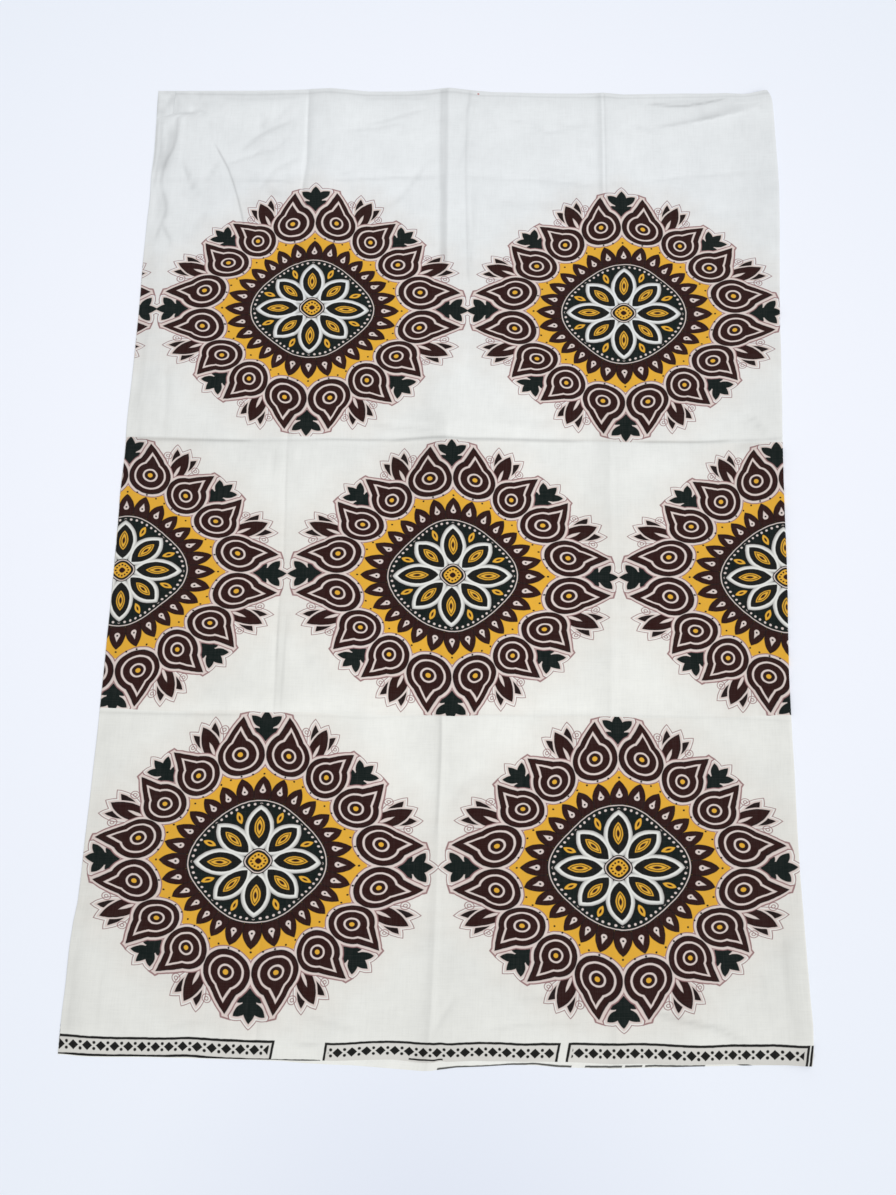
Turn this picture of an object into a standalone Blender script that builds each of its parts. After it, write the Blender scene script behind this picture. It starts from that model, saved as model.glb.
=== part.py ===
"""Wrapper cloth: one length of printed cotton, folded once end to end and laid flat.

The upper half turns down round the fold at the right side. The under half fills the space below it
and shows along the free ends and both selvages. +Y points to the plain selvage, +X to the fold, and
the origin is on the ground under the middle of the cloth. All sizes are in metres.
"""

from collections import namedtuple
from math import cos, exp, hypot, pi, sin

import bmesh
import bpy

# The folded cloth
WIDTH = 0.750  # from the free ends to the fold: half of the length that was cut
LENGTH = 1.100  # from the printed selvage to the plain one
LEAN = 0.0070  # how much further right the plain selvage lies than the printed one
RISE = 0.0097  # how much further up the fold lies than the free ends
MIDDLE = 0.0013  # from the middle of the straight-sided form to the origin, along Y

# The cloth's wall, and the fold
WALL = 0.0010
LAYER_GAP = 0.0003
FOLD_HEIGHT = 0.0040
FOLD_REACH = 0.022  # how far in from the fold the cloth still rises to it
LIP = 0.0015  # what the upper half has under it, past the fold
TURN_STEPS = 6

# How the panels between the creases swell
PANEL_SWELL = 0.0012
SWELL_POWER = 0.6

# The edges: (share of the way along, how far the edge bows out of the straight line)
Bow = namedtuple("Bow", "along out")
FREE_END_BOWS = (
    Bow(0.00, 0.0018),
    Bow(0.045, 0.0020),
    Bow(0.09, 0.0011),
    Bow(0.135, -0.0029),
    Bow(0.20, -0.0040),
    Bow(0.30, -0.0054),
    Bow(0.44, -0.0054),
    Bow(0.53, -0.0039),
    Bow(0.57, -0.0042),
    Bow(0.61, -0.0033),
    Bow(0.66, -0.0037),
    Bow(0.71, -0.0035),
    Bow(0.78, -0.0022),
    Bow(0.86, -0.0024),
    Bow(0.93, -0.0016),
    Bow(1.00, 0.0004),
)
FOLD_BOWS = (
    Bow(0.00, 0.0008),
    Bow(0.035, 0.0016),
    Bow(0.12, -0.0029),
    Bow(0.21, -0.0063),
    Bow(0.35, -0.0084),
    Bow(0.45, -0.0060),
    Bow(0.56, -0.0055),
    Bow(0.66, -0.0032),
    Bow(0.72, -0.0028),
    Bow(0.84, 0.0021),
    Bow(0.90, 0.0034),
    Bow(0.96, 0.0009),
    Bow(1.00, -0.0035),
)
PRINTED_SELVAGE_BOWS = (
    Bow(0.00, 0.0003),
    Bow(0.04, 0.0013),
    Bow(0.12, 0.0013),
    Bow(0.25, 0.0021),
    Bow(0.31, 0.0031),
    Bow(0.38, 0.0056),
    Bow(0.44, 0.0077),
    Bow(0.49, 0.0092),
    Bow(0.52, 0.0068),
    Bow(0.57, 0.0050),
    Bow(0.62, 0.0028),
    Bow(0.68, 0.0044),
    Bow(0.73, 0.0048),
    Bow(0.80, 0.0030),
    Bow(0.91, 0.0009),
    Bow(1.00, 0.0002),
)
PLAIN_SELVAGE_BOWS = (
    Bow(0.00, 0.0000),
    Bow(0.15, 0.0005),
    Bow(0.24, 0.0026),
    Bow(0.272, 0.0050),
    Bow(0.305, 0.0028),
    Bow(0.345, 0.0001),
    Bow(0.40, 0.0003),
    Bow(0.484, 0.0059),
    Bow(0.533, -0.0001),
    Bow(0.60, -0.0011),
    Bow(0.70, -0.0021),
    Bow(0.728, -0.0006),
    Bow(0.76, -0.0028),
    Bow(0.85, -0.0014),
    Bow(0.95, -0.0008),
    Bow(1.00, 0.0010),
)

# How far the upper layer stops short of the under one: (share of the way along, distance)
Inset = namedtuple("Inset", "along depth")
FREE_END_INSETS = (
    Inset(0.000, 0.0016),
    Inset(0.800, 0.0022),
    Inset(0.955, 0.0030),
    Inset(0.972, 0.0170),
    Inset(1.000, 0.0190),
)
PRINTED_SELVAGE_INSETS = (
    Inset(0.00, 0.0012),
    Inset(0.25, 0.0016),
    Inset(0.36, 0.0036),
    Inset(0.455, 0.0074),
    Inset(0.50, 0.0068),
    Inset(0.55, 0.0055),
    Inset(0.62, 0.0034),
    Inset(0.68, 0.0052),
    Inset(0.77, 0.0038),
    Inset(0.85, 0.0020),
    Inset(1.00, 0.0008),
)
PLAIN_SELVAGE_INSETS = (
    Inset(0.00, 0.0008),
    Inset(0.20, 0.0032),
    Inset(0.80, 0.0030),
    Inset(1.00, 0.0008),
)
INSET_EASE = 0.05  # the share of the cloth over which an inset dies away inwards

# Creases left by the cloth's folded storage, as shares of the width and of the length. The first three run
# from the printed selvage to the plain one, the others from the free ends to the fold.
Crease = namedtuple("Crease", "start end")
QUARTER_LEFT = Crease(0.275, 0.247)
CENTRE = Crease(0.515, 0.487)
QUARTER_RIGHT = Crease(0.744, 0.729)
LOW = Crease(0.310, 0.310)
MIDWAY = Crease(0.591, 0.591)
HIGH = Crease(0.890, 0.890)
UPRIGHT_CREASES = (QUARTER_LEFT, CENTRE, QUARTER_RIGHT)
LEVEL_CREASES = (LOW, MIDWAY, HIGH)
CREASE_SPREAD = 0.010  # from a crease to the stations beside it

# The largest raised folds: where each starts and ends as (share of width, share of length)
Fold = namedtuple("Fold", "start end height half_width")
RAISED_FOLDS = (
    Fold((0.515, 0.00), (0.496, 0.70), 0.0012, 0.016),
    Fold((0.496, 0.70), (0.487, 1.00), 0.0022, 0.015),
    Fold((0.275, 0.05), (0.250, 0.92), 0.0008, 0.012),
    Fold((0.262, 0.90), (0.283, 1.02), 0.0016, 0.020),
    Fold((0.744, 0.05), (0.729, 1.00), 0.0009, 0.011),
    Fold((0.830, 0.962), (0.955, 0.985), 0.0020, 0.013),
    Fold((0.030, 0.615), (0.040, 0.700), 0.0012, 0.014),
    Fold((0.020, 0.830), (0.034, 0.955), 0.0014, 0.013),
)

STATION_SPACING = 0.062  # the widest step between stations, as a share
EDGE_STATION = 0.018  # the first stations inside the edges, as a share

COTTON_ROUGHNESS = 0.9
COTTON_COLOURS = {
    "upper_layer": (0.80, 0.81, 0.80, 1.0),
    "under_layer": (0.76, 0.75, 0.71, 1.0),
}


def smoothed(rows, along):
    """The second column of a table at a place between its rows, eased from row to row."""
    for here, there in zip(rows, rows[1:]):
        if along <= there[0]:
            break
    share = min(max((along - here[0]) / (there[0] - here[0]), 0.0), 1.0)
    share = share * share * (3 - 2 * share)
    return here[1] + (there[1] - here[1]) * share


def place(across, along):
    """Where a point of the laid cloth is on the ground, from its shares of the width and length."""
    bow_left = smoothed(FREE_END_BOWS, along) * (1 - across)
    bow_right = smoothed(FOLD_BOWS, along) * across
    bow_low = smoothed(PRINTED_SELVAGE_BOWS, across) * (1 - along)
    bow_high = smoothed(PLAIN_SELVAGE_BOWS, across) * along
    x = WIDTH * (across - 0.5) + LEAN * (along - 0.5) - bow_left + bow_right
    y = LENGTH * (along - 0.5) + RISE * (across - 0.5) - bow_low + bow_high
    return x, y + MIDDLE


def drawn_in(across, along):
    """The shares of a point of the upper layer, whose edges stop short of the under layer's."""
    left = smoothed(FREE_END_INSETS, along) / WIDTH * exp(-across / INSET_EASE)
    low = smoothed(PRINTED_SELVAGE_INSETS, across) / LENGTH * exp(-along / INSET_EASE)
    high = smoothed(PLAIN_SELVAGE_INSETS, across) / LENGTH * exp(-(1 - along) / INSET_EASE)
    return across + left, along + low - high


def crease_at(crease, share):
    return crease.start + (crease.end - crease.start) * share


def bulge(share, marks):
    """How far a panel swells at a place between two creases: 0 on a crease, 1 in the middle."""
    edges = [0.0, *marks, 1.0]
    for low, high in zip(edges, edges[1:]):
        if share <= high:
            break
    inside = min(max((share - low) / (high - low), 0.0), 1.0)
    return sin(pi * inside) ** SWELL_POWER


def fold_relief(fold, across, along):
    """The height that one raised fold adds, which dies away from its line and past its ends."""
    run_x = (fold.end[0] - fold.start[0]) * WIDTH
    run_y = (fold.end[1] - fold.start[1]) * LENGTH
    from_x = (across - fold.start[0]) * WIDTH
    from_y = (along - fold.start[1]) * LENGTH
    share = (from_x * run_x + from_y * run_y) / (run_x * run_x + run_y * run_y)
    share = min(max(share, 0.0), 1.0)
    distance = hypot(from_x - run_x * share, from_y - run_y * share)
    return fold.height * exp(-((distance / fold.half_width) ** 2))


def height(across, along):
    """The height of the upper layer's outer face."""
    flat = 2 * WALL + LAYER_GAP
    near_fold = exp(-(((1 - across) * WIDTH / FOLD_REACH) ** 2))
    upright_marks = [crease_at(crease, along) for crease in UPRIGHT_CREASES]
    level_marks = [crease_at(crease, across) for crease in LEVEL_CREASES]
    swell = PANEL_SWELL * bulge(across, upright_marks) * bulge(along, level_marks)
    folds = sum(fold_relief(fold, across, along) for fold in RAISED_FOLDS)
    return flat + (swell + folds) * (1 - near_fold) + (FOLD_HEIGHT - flat) * near_fold


def stations(anchors):
    """The anchors, which are pairs of shares, with even steps between them."""
    rows = []
    for here, there in zip(anchors, anchors[1:]):
        steps = max(1, round((there[0] - here[0]) / STATION_SPACING))
        for step in range(steps):
            share = step / steps
            rows.append(tuple(a + (b - a) * share for a, b in zip(here, there)))
    return [*rows, anchors[-1]]


def crease_anchors(creases, size):
    spread = CREASE_SPREAD / size
    for crease in creases:
        for offset in (-spread, 0.0, spread):
            yield crease.start + offset, crease.end + offset


FOLD_RADIUS = FOLD_HEIGHT / 2
TURN_START = 1 - FOLD_RADIUS / WIDTH
UNDER_END = 1 - (FOLD_RADIUS + LIP + LAYER_GAP) / WIDTH
COLUMNS = stations(
    [
        (0.0, 0.0),
        (EDGE_STATION, EDGE_STATION),
        *crease_anchors(UPRIGHT_CREASES, WIDTH),
        (1 - FOLD_REACH / WIDTH, 1 - FOLD_REACH / WIDTH),
        (UNDER_END, UNDER_END),
        (TURN_START, TURN_START),
    ]
)
ROWS = stations(
    [
        (0.0, 0.0),
        (EDGE_STATION, EDGE_STATION),
        *crease_anchors(LEVEL_CREASES, LENGTH),
        (FREE_END_INSETS[2].along, FREE_END_INSETS[2].along),
        (FREE_END_INSETS[3].along, FREE_END_INSETS[3].along),
        (1.0, 1.0),
    ]
)


def shares(column, row):
    """The shares of a point where a column of stations crosses a row of them."""
    along = row[0]
    across = column[0] + (column[1] - column[0]) * along
    return across, row[0] + (row[1] - row[0]) * across


def grid(columns, rows, point_at):
    """An open sheet whose vertex in a given column and row is put at point_at(column, row)."""
    bm = bmesh.new()
    bmesh.ops.create_grid(bm, x_segments=columns - 1, y_segments=rows - 1, size=0.5)
    for vert in bm.verts:
        column = round((vert.co.x + 0.5) * (columns - 1))
        row = round((vert.co.y + 0.5) * (rows - 1))
        vert.co = point_at(column, row)
    return bm


def add_object(bm, name, collection):
    mesh = bpy.data.meshes.new(name)
    bm.to_mesh(mesh)
    bm.free()
    mesh.shade_smooth()
    material = bpy.data.materials.new(name)
    material.use_nodes = True
    shader = material.node_tree.nodes["Principled BSDF"]
    shader.inputs["Base Color"].default_value = COTTON_COLOURS[name]
    shader.inputs["Roughness"].default_value = COTTON_ROUGHNESS
    mesh.materials.append(material)
    sheet = bpy.data.objects.new(name, mesh)
    collection.objects.link(sheet)
    return sheet


def upper_point(column, row):
    """A point of the upper layer's outer face, over the flat, round the fold or on the lip."""
    if column < len(COLUMNS):
        across, along = drawn_in(*shares(COLUMNS[column], ROWS[row]))
        return (*place(across, along), height(across, along))
    across, along = drawn_in(*shares((1.0, 1.0), ROWS[row]))
    edge_x, y = place(across, along)
    step = column - len(COLUMNS) + 1
    if step > TURN_STEPS:
        return edge_x - FOLD_RADIUS - LIP, y, 0.0
    angle = pi * step / TURN_STEPS
    return edge_x - FOLD_RADIUS + FOLD_RADIUS * sin(angle), y, FOLD_RADIUS + FOLD_RADIUS * cos(angle)


def upper_layer(collection):
    """The half that faces up, as a wall that turns down round the fold."""
    bm = grid(len(COLUMNS) + TURN_STEPS + 1, len(ROWS), upper_point)
    sheet = add_object(bm, "upper_layer", collection)
    wall = sheet.modifiers.new("wall", "SOLIDIFY")
    wall.thickness = WALL
    wall.offset = -1.0
    wall.use_even_offset = True


def under_point(column, row):
    """A point of the under layer's upper face: its rim, or 0.3 mm below the upper layer."""
    columns = [column for column in COLUMNS if column[0] < TURN_START]
    across, along = shares(columns[max(column - 1, 0)], ROWS[min(max(row - 1, 0), len(ROWS) - 1)])
    across, along = drawn_in(across, along)
    top = height(across, along) - WALL - LAYER_GAP
    if column == 0:
        across = 0.0
        top = WALL
    if row == 0:
        along = 0.0
        top = WALL
    if row == len(ROWS) + 1:
        along = 1.0
        top = WALL
    return (*place(across, along), top)


def under_layer(collection):
    """The half that lies on the ground: flat below, rounded above, with a thin rim that shows."""
    bm = grid(len(COLUMNS), len(ROWS) + 2, under_point)
    upper_faces = list(bm.faces)
    grown = bmesh.ops.extrude_face_region(bm, geom=upper_faces, use_keep_orig=True)
    ground_faces = [part for part in grown["geom"] if isinstance(part, bmesh.types.BMFace)]
    for part in grown["geom"]:
        if isinstance(part, bmesh.types.BMVert):
            part.co.z = 0.0
    bmesh.ops.dissolve_faces(bm, faces=ground_faces)
    bmesh.ops.recalc_face_normals(bm, faces=list(bm.faces))
    add_object(bm, "under_layer", collection)


for old in list(bpy.data.objects):
    bpy.data.objects.remove(old)
cloth = bpy.data.collections.new("wrapper_cloth")
bpy.context.scene.collection.children.link(cloth)
upper_layer(cloth)
under_layer(cloth)
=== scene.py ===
from collections import namedtuple
from math import cos, exp, hypot, pi, radians, sin

import bmesh
import bpy
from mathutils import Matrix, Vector, noise


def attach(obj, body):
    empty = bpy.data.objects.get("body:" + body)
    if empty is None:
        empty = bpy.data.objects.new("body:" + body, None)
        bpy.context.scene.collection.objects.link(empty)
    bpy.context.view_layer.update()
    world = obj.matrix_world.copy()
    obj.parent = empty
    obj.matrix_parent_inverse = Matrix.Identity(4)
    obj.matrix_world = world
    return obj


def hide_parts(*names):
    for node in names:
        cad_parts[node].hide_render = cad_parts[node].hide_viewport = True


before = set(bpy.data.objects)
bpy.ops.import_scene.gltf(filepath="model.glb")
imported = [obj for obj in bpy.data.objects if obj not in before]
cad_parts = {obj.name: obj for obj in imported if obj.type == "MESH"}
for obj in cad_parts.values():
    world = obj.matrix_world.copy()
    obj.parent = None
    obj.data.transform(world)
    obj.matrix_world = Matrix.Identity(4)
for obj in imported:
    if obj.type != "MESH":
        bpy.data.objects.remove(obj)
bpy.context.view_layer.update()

# The way the cloth lies
# The wrapper is one length of plain-weave cotton, folded once end to end and laid flat on its under half.
# Its outline bows a little, because it was shaken out and smoothed by hand, and nothing holds it.

# The cloth's sizes are in millimetres, and become metres where its mesh is made
WIDTH = 750.0  # from the free ends to the fold: half of the length that was cut
LENGTH = 1100.0  # from the printed selvage to the plain one
LEAN = 7.0  # how much further right the plain selvage lies
RISE = 9.7  # how much further up the fold lies than the free ends
MIDDLE = 1.3  # how far up the middle of the cloth lies

Bow = namedtuple("Bow", "along out")  # how far an edge bows out at a share of its length
FREE_END_BOWS = (
    Bow(0, 1), Bow(0.08, -1.2), Bow(0.17, -3), Bow(0.31, -5.8), Bow(0.45, -7.4), Bow(0.59, -3.6),
    Bow(0.66, -2.2), Bow(0.74, -2.9), Bow(0.88, -1.8), Bow(1, 0),
)
FOLD_BOWS = (
    Bow(0, 1.5), Bow(0.18, -1.5), Bow(0.45, -0.8), Bow(0.59, -2), Bow(0.75, 1), Bow(1, 2),
)
PRINTED_SELVAGE_BOWS = (
    Bow(0, 0), Bow(0.12, 1.5), Bow(0.29, 2.4), Bow(0.39, 6.6), Bow(0.5, 7.2), Bow(0.57, 5.7),
    Bow(0.75, 3.7), Bow(0.86, 2.4), Bow(1, 0),
)
PLAIN_SELVAGE_BOWS = (
    Bow(0, 0), Bow(0.15, 0.3), Bow(0.29, 3), Bow(0.4, 0.6), Bow(0.485, 4.2), Bow(0.53, 1.6),
    Bow(0.66, -0.4), Bow(0.88, -2.8), Bow(0.96, -0.6), Bow(1, 0),
)

# How the edges wave out and in besides, which dies away in the cloth
FREE_END_WAVES = (
    Bow(0, -0.4), Bow(0.045, 0.8), Bow(0.09, 1.4), Bow(0.112, 0.7), Bow(0.134, -1.3), Bow(0.215, -1.3),
    Bow(0.27, -0.5), Bow(0.345, 0.2), Bow(0.395, 1.2), Bow(0.46, 2.1), Bow(0.524, 1.5), Bow(0.577, -0.6),
    Bow(0.605, 0.3), Bow(0.665, -1.5), Bow(0.716, -0.7), Bow(0.79, 0.3), Bow(0.834, 0), Bow(0.864, -0.7),
    Bow(0.895, 0.3), Bow(0.925, -0.7), Bow(0.956, -0.4), Bow(1, 0.5),
)
PRINTED_SELVAGE_WAVES = (
    Bow(0, 0.6), Bow(0.037, 2), Bow(0.117, 0.5), Bow(0.25, 0.6), Bow(0.33, 1.2), Bow(0.384, -0.4),
    Bow(0.436, 1.3), Bow(0.48, 3.6), Bow(0.499, 3.2), Bow(0.511, 0.4), Bow(0.568, -0.1), Bow(0.6, -1.8),
    Bow(0.622, -1.8), Bow(0.675, 0.8), Bow(0.727, 2), Bow(0.78, 0.9), Bow(0.911, -0.8), Bow(1, 0.3),
)
PLAIN_SELVAGE_WAVES = (
    Bow(0, 0), Bow(0.24, 0.4), Bow(0.272, 2.4), Bow(0.305, 0), Bow(0.338, -1.9), Bow(0.4, -0.3),
    Bow(0.436, 0), Bow(0.476, 1.7), Bow(0.5, 0.2), Bow(0.533, -1.7), Bow(0.696, -1.5), Bow(0.728, 0.4),
    Bow(0.755, -1.6), Bow(0.826, 0.6), Bow(0.858, 1.5), Bow(0.923, 1.3), Bow(0.955, -0.7), Bow(1, 2.6),
)
FREE_END_EASE = 0.12  # the shares of the width and the length over which the waves die away
SELVAGE_EASE = 0.03

Inset = namedtuple("Inset", "along depth")  # how far the upper half stops short of the under one
FREE_END_INSETS = (
    Inset(0, 0.4), Inset(0.8, 0.6), Inset(0.965, 1), Inset(0.9715, 20.5), Inset(1, 21.5),
)
PRINTED_SELVAGE_INSETS = (
    Inset(0, 0.8), Inset(0.25, 0.6), Inset(0.3, 1), Inset(0.36, 3.5), Inset(0.455, 7.8), Inset(0.5, 7),
    Inset(0.52, 5.5), Inset(0.55, 5.5), Inset(0.62, 3.2), Inset(0.67, 5), Inset(0.77, 3.8),
    Inset(0.85, 1.8), Inset(1, 0.5),
)
PLAIN_SELVAGE_INSETS = (
    Inset(0, 0.8), Inset(0.15, 2.4), Inset(0.8, 2.4), Inset(1, 0.8),
)
INSET_EASE = 0.05


def between(rows, at):
    """The second column of the rows before and after a place, and its share of the way between them."""
    for here, there in zip(rows, rows[1:]):
        if at <= there[0]:
            break
    return here[1], there[1], min(max((at - here[0]) / (there[0] - here[0]), 0.0), 1.0)


def straight(rows, at):
    """The second column of a table at a place between its rows, on a straight line from row to row."""
    start, end, share = between(rows, at)
    return start + (end - start) * share


def smoothed(rows, at):
    """The same, eased from row to row."""
    start, end, share = between(rows, at)
    return start + (end - start) * (share * share * (3 - 2 * share))


def place(across, along):
    """Where a point of the laid cloth is on the ground, from its shares of the width and length."""
    bow_left = smoothed(FREE_END_BOWS, along) * (1 - across)
    bow_left += smoothed(FREE_END_WAVES, along) * exp(-across / FREE_END_EASE)
    bow_right = smoothed(FOLD_BOWS, along) * across
    bow_low = smoothed(PRINTED_SELVAGE_BOWS, across) * (1 - along)
    bow_low += smoothed(PRINTED_SELVAGE_WAVES, across) * exp(-along / SELVAGE_EASE)
    bow_high = smoothed(PLAIN_SELVAGE_BOWS, across) * along
    bow_high += smoothed(PLAIN_SELVAGE_WAVES, across) * exp(-(1 - along) / SELVAGE_EASE)
    x = WIDTH * (across - 0.5) + LEAN * (along - 0.5) - bow_left + bow_right
    y = LENGTH * (along - 0.5) + RISE * (across - 0.5) - bow_low + bow_high
    return x, y + MIDDLE


def drawn_in(across, along):
    """The shares of a point of the upper half, whose edges stop short of the under one's."""
    left = smoothed(FREE_END_INSETS, along) / WIDTH * exp(-across / INSET_EASE)
    low = smoothed(PRINTED_SELVAGE_INSETS, across) / LENGTH * exp(-along / INSET_EASE)
    high = smoothed(PLAIN_SELVAGE_INSETS, across) / LENGTH * exp(-(1 - along) / INSET_EASE)
    return across + left, along + low - high


# How high the upper half lies
# The cotton was put away folded in eight by four, so pressed creases divide it into panels that swell a
# little between them. Along its free edges it settles on the half below, and it rises to the fold.

PANEL_LEVEL = 2.2
PANEL_SWELL = 1.2
SWELL_POWER = 0.6
EDGE_LEVEL = 0.6
EDGE_SETTLE = 14.0  # how far in from a free edge the cloth is still sinking to it
FOLD_HEIGHT = 4.0
FOLD_REACH = 22.0  # and from the fold, still rising to it

# The pressed creases from selvage to selvage, as distances from the printed selvage and from the free end
QUARTER_LEFT = ((0, 198), (150, 193), (342, 189), (454, 186), (513, 188), (645, 186), (967, 184),
                (1000, 187), (1049, 186), (1100, 185))
CENTRE = ((0, 368.5), (60, 370), (115, 371), (298, 371.2), (345, 369.8), (413, 368), (679, 366), (846, 362),
          (961, 355.5), (1000, 354.5), (1100, 353.5))
CENTRE_RIGHT = ((0, 386), (679, 384), (846, 385), (995, 377.8), (1040, 378.2), (1069, 377.9), (1082, 380),
                (1100, 381.5))
QUARTER_RIGHT = ((0, 556), (362, 551), (426, 551), (653, 552), (930, 543), (1100, 540.5))
# the line that the cloth turns back on, and the bent crease in the left top panel, in the same way
FOLD_LINE = ((0, 749), (10, 750.8), (38, 751.7), (61, 750.6), (97, 749.7), (145, 748.7), (182, 747.4),
             (232, 746.4), (283, 745.9), (321, 744.8), (388, 743.8), (442, 744.7), (484, 745.8),
             (568, 746.6), (640, 748), (700, 748.9), (761, 748.5), (792, 747.8), (823, 748.5), (855, 749.7),
             (920, 752), (972, 752.9), (1000, 752), (1035, 750.7), (1070, 749.6), (1088, 748.3),
             (1095, 746.2), (1100, 743))
SHARP_CURVE = ((0, 120), (905, 120), (949, 108), (973, 100), (992, 94), (1009, 85), (1030, 72), (1100, 52))
# and the pressed creases across, as distances from the free end and from the printed selvage
LOW = ((0, 340), (28, 340), (218, 340), (390, 345), (541, 346), (675, 344), (750, 338))
MIDWAY = ((0, 647), (54, 648), (201, 648), (350, 654), (497, 653), (656, 652), (750, 654))
HIGH = ((0, 976), (112, 979), (339, 981), (400, 977), (524, 973), (581, 978), (685, 989), (750, 990))
RUN_ON = 30.0  # how far a crease's points run on past the edges


def swell(at, marks, size):
    """How far a panel swells at a place between two creases: 0 on a crease, 1 in the middle."""
    edges = [0.0, *marks, size]
    for low, high in zip(edges, edges[1:]):
        if at <= high:
            break
    inside = min(max((at - low) / (high - low), 0.0), 1.0)
    return sin(pi * inside) ** SWELL_POWER


def upright(path, low, high):
    """The points on the flat cloth of a stretch of a crease from selvage to selvage."""
    points = [(across, along) for along, across in path]
    points = [(points[0][0], -RUN_ON), *points, (points[-1][0], LENGTH + RUN_ON)]
    return [point for point in points if low <= point[1] <= high]


def level(path):
    """The points of a crease that runs from the free end to the fold."""
    return [(-RUN_ON, path[0][1]), *path, (WIDTH + RUN_ON, path[-1][1])]


# Every crease and fold deep enough to catch the light, with painted shade along it that darkens it more than
# its
# relief shades it: its height at the line, how wide it runs out on its left and its right as its points go,
# whether it was pressed sharp, the share of the light its painted shade takes, how wide that shade is on its
# left and its right, and its points on the flat cloth. A sunk one has a negative height, and a pale one,
# painted light, takes a negative share.
Fold = namedtuple("Fold", "height left right sharp mark mark_left mark_right points")
FLAT_MARK_WIDTH = 4.0  # the width that a flat mark is looked for by, if its mark is narrower


def crease(height, left, right, mark, mark_left, mark_right, *points):
    """A line that was pressed sharp."""
    return Fold(height, left, right, True, mark, mark_left, mark_right, points)


def fold(height, left, right, mark, mark_left, mark_right, *points):
    """A soft fold or wrinkle."""
    return Fold(height, left, right, False, mark, mark_left, mark_right, points)


def painted_shade_and_show_through(mark, mark_left, mark_right, *points):
    """A place that lies flat and is painted darker or paler: mostly painted shade and light of the panels
    and wrinkles, and in a few small patches the print of the half beneath showing through.
    """
    return Fold(0.0, FLAT_MARK_WIDTH, FLAT_MARK_WIDTH, False, mark, mark_left, mark_right, points)


SELVAGE_TO_SELVAGE = (
    crease(-0.8, 2.5, 8, 0.1, 1.1, 6, *upright(QUARTER_LEFT, 640, 1200)),
    crease(-0.6, 2.5, 8, 0.09, 1.6, 1.2, *upright(QUARTER_LEFT, 300, 650)),
    crease(-0.4, 3, 6, 0.02, 2, 4, *upright(QUARTER_LEFT, -50, 343)),
    crease(0.6, 6, 5, 0, 2, 2, *upright(CENTRE, 840, 1200)),
    painted_shade_and_show_through(0.1, 1.8, 3.4, (354, 850), (350.5, 961), (348, 1000), (347.5, 1050), (346.2, 1130)),
    painted_shade_and_show_through(0.11, 3.4, 1.6, (359, 850), (356.5, 961), (355.8, 1000), (355, 1050), (354.2, 1130)),
    crease(0.3, 10, 10, 0.012, 2, 2, *upright(CENTRE, 670, 850)),
    crease(0.6, 12, 6, 0.035, 8, 1.4, *upright(CENTRE, 410, 690)),
    crease(0.6, 12, 4, 0.082, 6.8, 1.2, *upright(CENTRE, -50, 415)),
    crease(-0.3, 2, 3, 0.085, 1.6, 2.6, *upright(CENTRE_RIGHT, 846, 1200)),
    crease(0.3, 8, 3, 0.12, 5, 1, *upright(QUARTER_RIGHT, 930, 1200)),
    crease(-0.2, 2, 3, 0.11, 0.9, 1.2, (551, 800), (547.5, 930), (545, 1130)),
    crease(0.5, 6, 8, 0.03, 10, 1.4, *upright(QUARTER_RIGHT, -50, 930)),
    fold(-0.3, 5, 5, 0.015, 3, 3, (564, 300), (564, 362), (559, 630)),
)
END_TO_FOLD = (
    crease(-0.4, 6, 6, 0.016, 3, 4, *level(HIGH)),
    crease(-0.7, 3, 4, 0.1, 1.8, 2.2, *level(MIDWAY)),
    painted_shade_and_show_through(0.035, 3, 14, (-10, 645), (200, 645), (300, 650)),
    crease(-0.5, 4, 8, 0.05, 1.2, 1.8, *level(LOW)),
    painted_shade_and_show_through(0.06, 1.2, 2.2, (-10, 340), (150, 340)),
    painted_shade_and_show_through(-0.04, 10, 1, (-10, 345), (218, 345), (300, 351), (541, 351)),
    painted_shade_and_show_through(0.19, 1.4, 1.8, (-10, 649.7), (50, 649.2), (100, 648.2), (145, 647.2)),
    painted_shade_and_show_through(0.09, 1, 1.2, (215, 648.5), (250, 650), (300, 652)),
    painted_shade_and_show_through(0.165, 1.6, 2.4, (300, 650.8), (350, 653.3), (400, 653.1), (440, 652.9), (480, 652.3),
           (520, 650.8)),
    painted_shade_and_show_through(0.17, 1.3, 1.5, (585, 651.5), (640, 652), (690, 653.5)),
    painted_shade_and_show_through(-0.055, 1.2, 2.2, (225, 645.8), (290, 648.5), (350, 649)),
    painted_shade_and_show_through(-0.04, 1.2, 2.2, (400, 649.2), (480, 648.5), (540, 647.5)),
    painted_shade_and_show_through(0.13, 2.8, 2.8, (692, 645.5), (715, 647), (732, 645.5)),
)
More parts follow.
